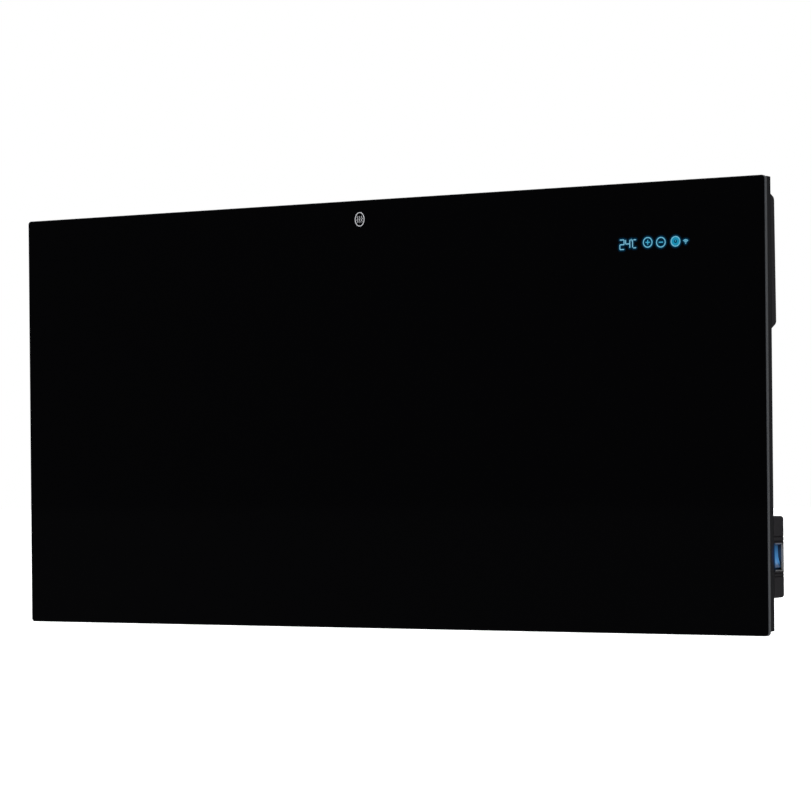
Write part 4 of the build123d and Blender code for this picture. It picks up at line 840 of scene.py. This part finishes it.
gloss_black = finish("gloss_black", (0.005, 0.005, 0.006), (0.008, 0.008, 0.009),
                     roughness=0.13, grain=800.0, bump=0.005, specular=0.12, rough_play=0.03)

# Light from the rocker spills over its bezel, into the gap round it and on to the pan in front.
SPILL_FROM = (0.497, -0.0240, -0.1625)
PAN_SPILL = {"colour": (0.0, 0.010, 0.048), "near": 0.008, "reach": 0.018}
BEZEL_SPILL = {"colour": (0.018, 0.050, 0.125), "near": 0.006, "reach": 0.019}


def spill(material, colour, near, reach):
    """Adds the rocker's light to a finish: full up to the near distance from the rocker's middle,
    and none from the reach on, with a smooth step between. Gives back its strength."""
    tree = material.node_tree
    away = add(tree, "VectorMath", {0: object_place(tree), 1: SPILL_FROM}, operation="DISTANCE")
    fade = add(tree, "MapRange",
               {"Value": away.outputs["Value"], "From Min": near, "From Max": reach,
                "To Min": 1.0, "To Max": 0.0}, interpolation_type="SMOOTHSTEP")
    feed(tree, tree.nodes["Principled BSDF"],
         {"Emission Color": colour, "Emission Strength": fade})
    return fade


spill(black_powder, **PAN_SPILL)
bezel_spill = spill(gloss_black, **BEZEL_SPILL)

# The bezel's lip next to the glass is satin, not glossy, and shows the spilled light alone.
LIP_Y = -0.0295
bezel_tree = gloss_black.node_tree
satin = add(bezel_tree, "BsdfPrincipled", {
    "Base Color": (0.004, 0.006, 0.010), "Roughness": 0.5, "Specular IOR Level": 0.004,
    "Emission Color": (0.010, 0.080, 0.215), "Emission Strength": bezel_spill})
on_lip = math_step(bezel_tree, "LESS_THAN",
                   part_along(bezel_tree, object_place(bezel_tree), "Y"), LIP_Y)
feed(bezel_tree, bezel_tree.nodes["Material Output"],
     {"Surface": mixed(bezel_tree, on_lip, bezel_tree.nodes["Principled BSDF"], satin)})
dress(gloss_black, "switch_housing")

# How bright the rocker is at a height: its lamp sits behind the lower half, close to the middle.
ROCKER_LIGHT = ((-0.1800, 0.05), (-0.1764, 0.08), (-0.1734, 0.20), (-0.1704, 0.88),
                (-0.1674, 0.92), (-0.1632, 0.80), (-0.1575, 0.52), (-0.1530, 0.32),
                (-0.1500, 0.20))
ROCKER_BLUE = (0.060, 0.215, 0.46)


def lit_blue(name, levels):
    """Clear blue plastic lit from inside: its light follows the levels, pairs of a height and a
    brightness, on straight lines between them."""
    made = finish(name, (0.004, 0.016, 0.050), (0.006, 0.022, 0.065),
                  roughness=0.16, grain=500.0, bump=0.005, specular=0.12)
    tree = made.node_tree
    low, high = levels[0][0], levels[-1][0]
    share = add(tree, "MapRange", {"Value": part_along(tree, object_place(tree), "Z"),
                                   "From Min": low, "From Max": high})
    ramp = add(tree, "ValToRGB", {"Fac": share})
    stops = ramp.color_ramp.elements
    for height, level in levels[1:-1]:
        stops.new((height - low) / (high - low))
    for stop, (height, level) in zip(stops, levels):
        stop.position = (height - low) / (high - low)
        stop.color = (level, level, level, 1.0)
    feed(tree, tree.nodes["Principled BSDF"],
         {"Emission Color": ROCKER_BLUE, "Emission Strength": ramp})
    return made


dress(lit_blue("blue_rocker", ROCKER_LIGHT), "rocker")
dress(white_plastic, "rocker_plunger")
dress(finish("contact_brass", (0.72, 0.55, 0.24), (0.60, 0.44, 0.17),
             roughness=0.25, grain=800.0, bump=0.01, metallic=1.0),
      "contact_lever", "switch_terminals")
dress(glow("lamp_clear", (0.10, 0.45, 1.0), strength=3.0), "switch_lamp")

PIVOT = np.array([491.1, -20.2, -165.1]) * MM
ROCKER_TILT = np.radians(8.0)
VALLEY = 3.8
FACE_EDGE = 5.0
FACE_HALF = 11.89
rocker_out = np.array([np.cos(ROCKER_TILT), 0.0, np.sin(ROCKER_TILT)])
rocker_up = np.array([-np.sin(ROCKER_TILT), 0.0, np.cos(ROCKER_TILT)])


def half_place(side):
    """Origin and axes of one half of the rocker's face, 1 for the upper and -1 for the lower: its
    middle, along the heater's depth, along the rocker, and straight out of that half."""
    across_face = side * FACE_HALF * rocker_up
    middle = PIVOT + MM * ((VALLEY + FACE_EDGE) / 2 * rocker_out + across_face / 2)
    run = side * unit((FACE_EDGE - VALLEY) * rocker_out + across_face)
    depth = np.array([0.0, 1.0, 0.0])
    return middle, depth, run, np.cross(depth, run)


SWITCH_SIGN_HALF = 2.4
SWITCH_RING_ACROSS = 1.7
SWITCH_STROKE = 0.8
switch_white = glow("switch_white", (0.08, 0.21, 0.42), base=(0.02, 0.03, 0.04))
on_line = stroke((0, -SWITCH_SIGN_HALF), (0, SWITCH_SIGN_HALF), SWITCH_STROKE, half_place(1))
off_ring = ring((0, 0), (SWITCH_RING_ACROSS, SWITCH_SIGN_HALF), SWITCH_STROKE, 48, half_place(-1))
piece("rocker_on_line", [on_line], switch_white, "rocker_button")
piece("rocker_off_ring", [off_ring], switch_white, "rocker_button")
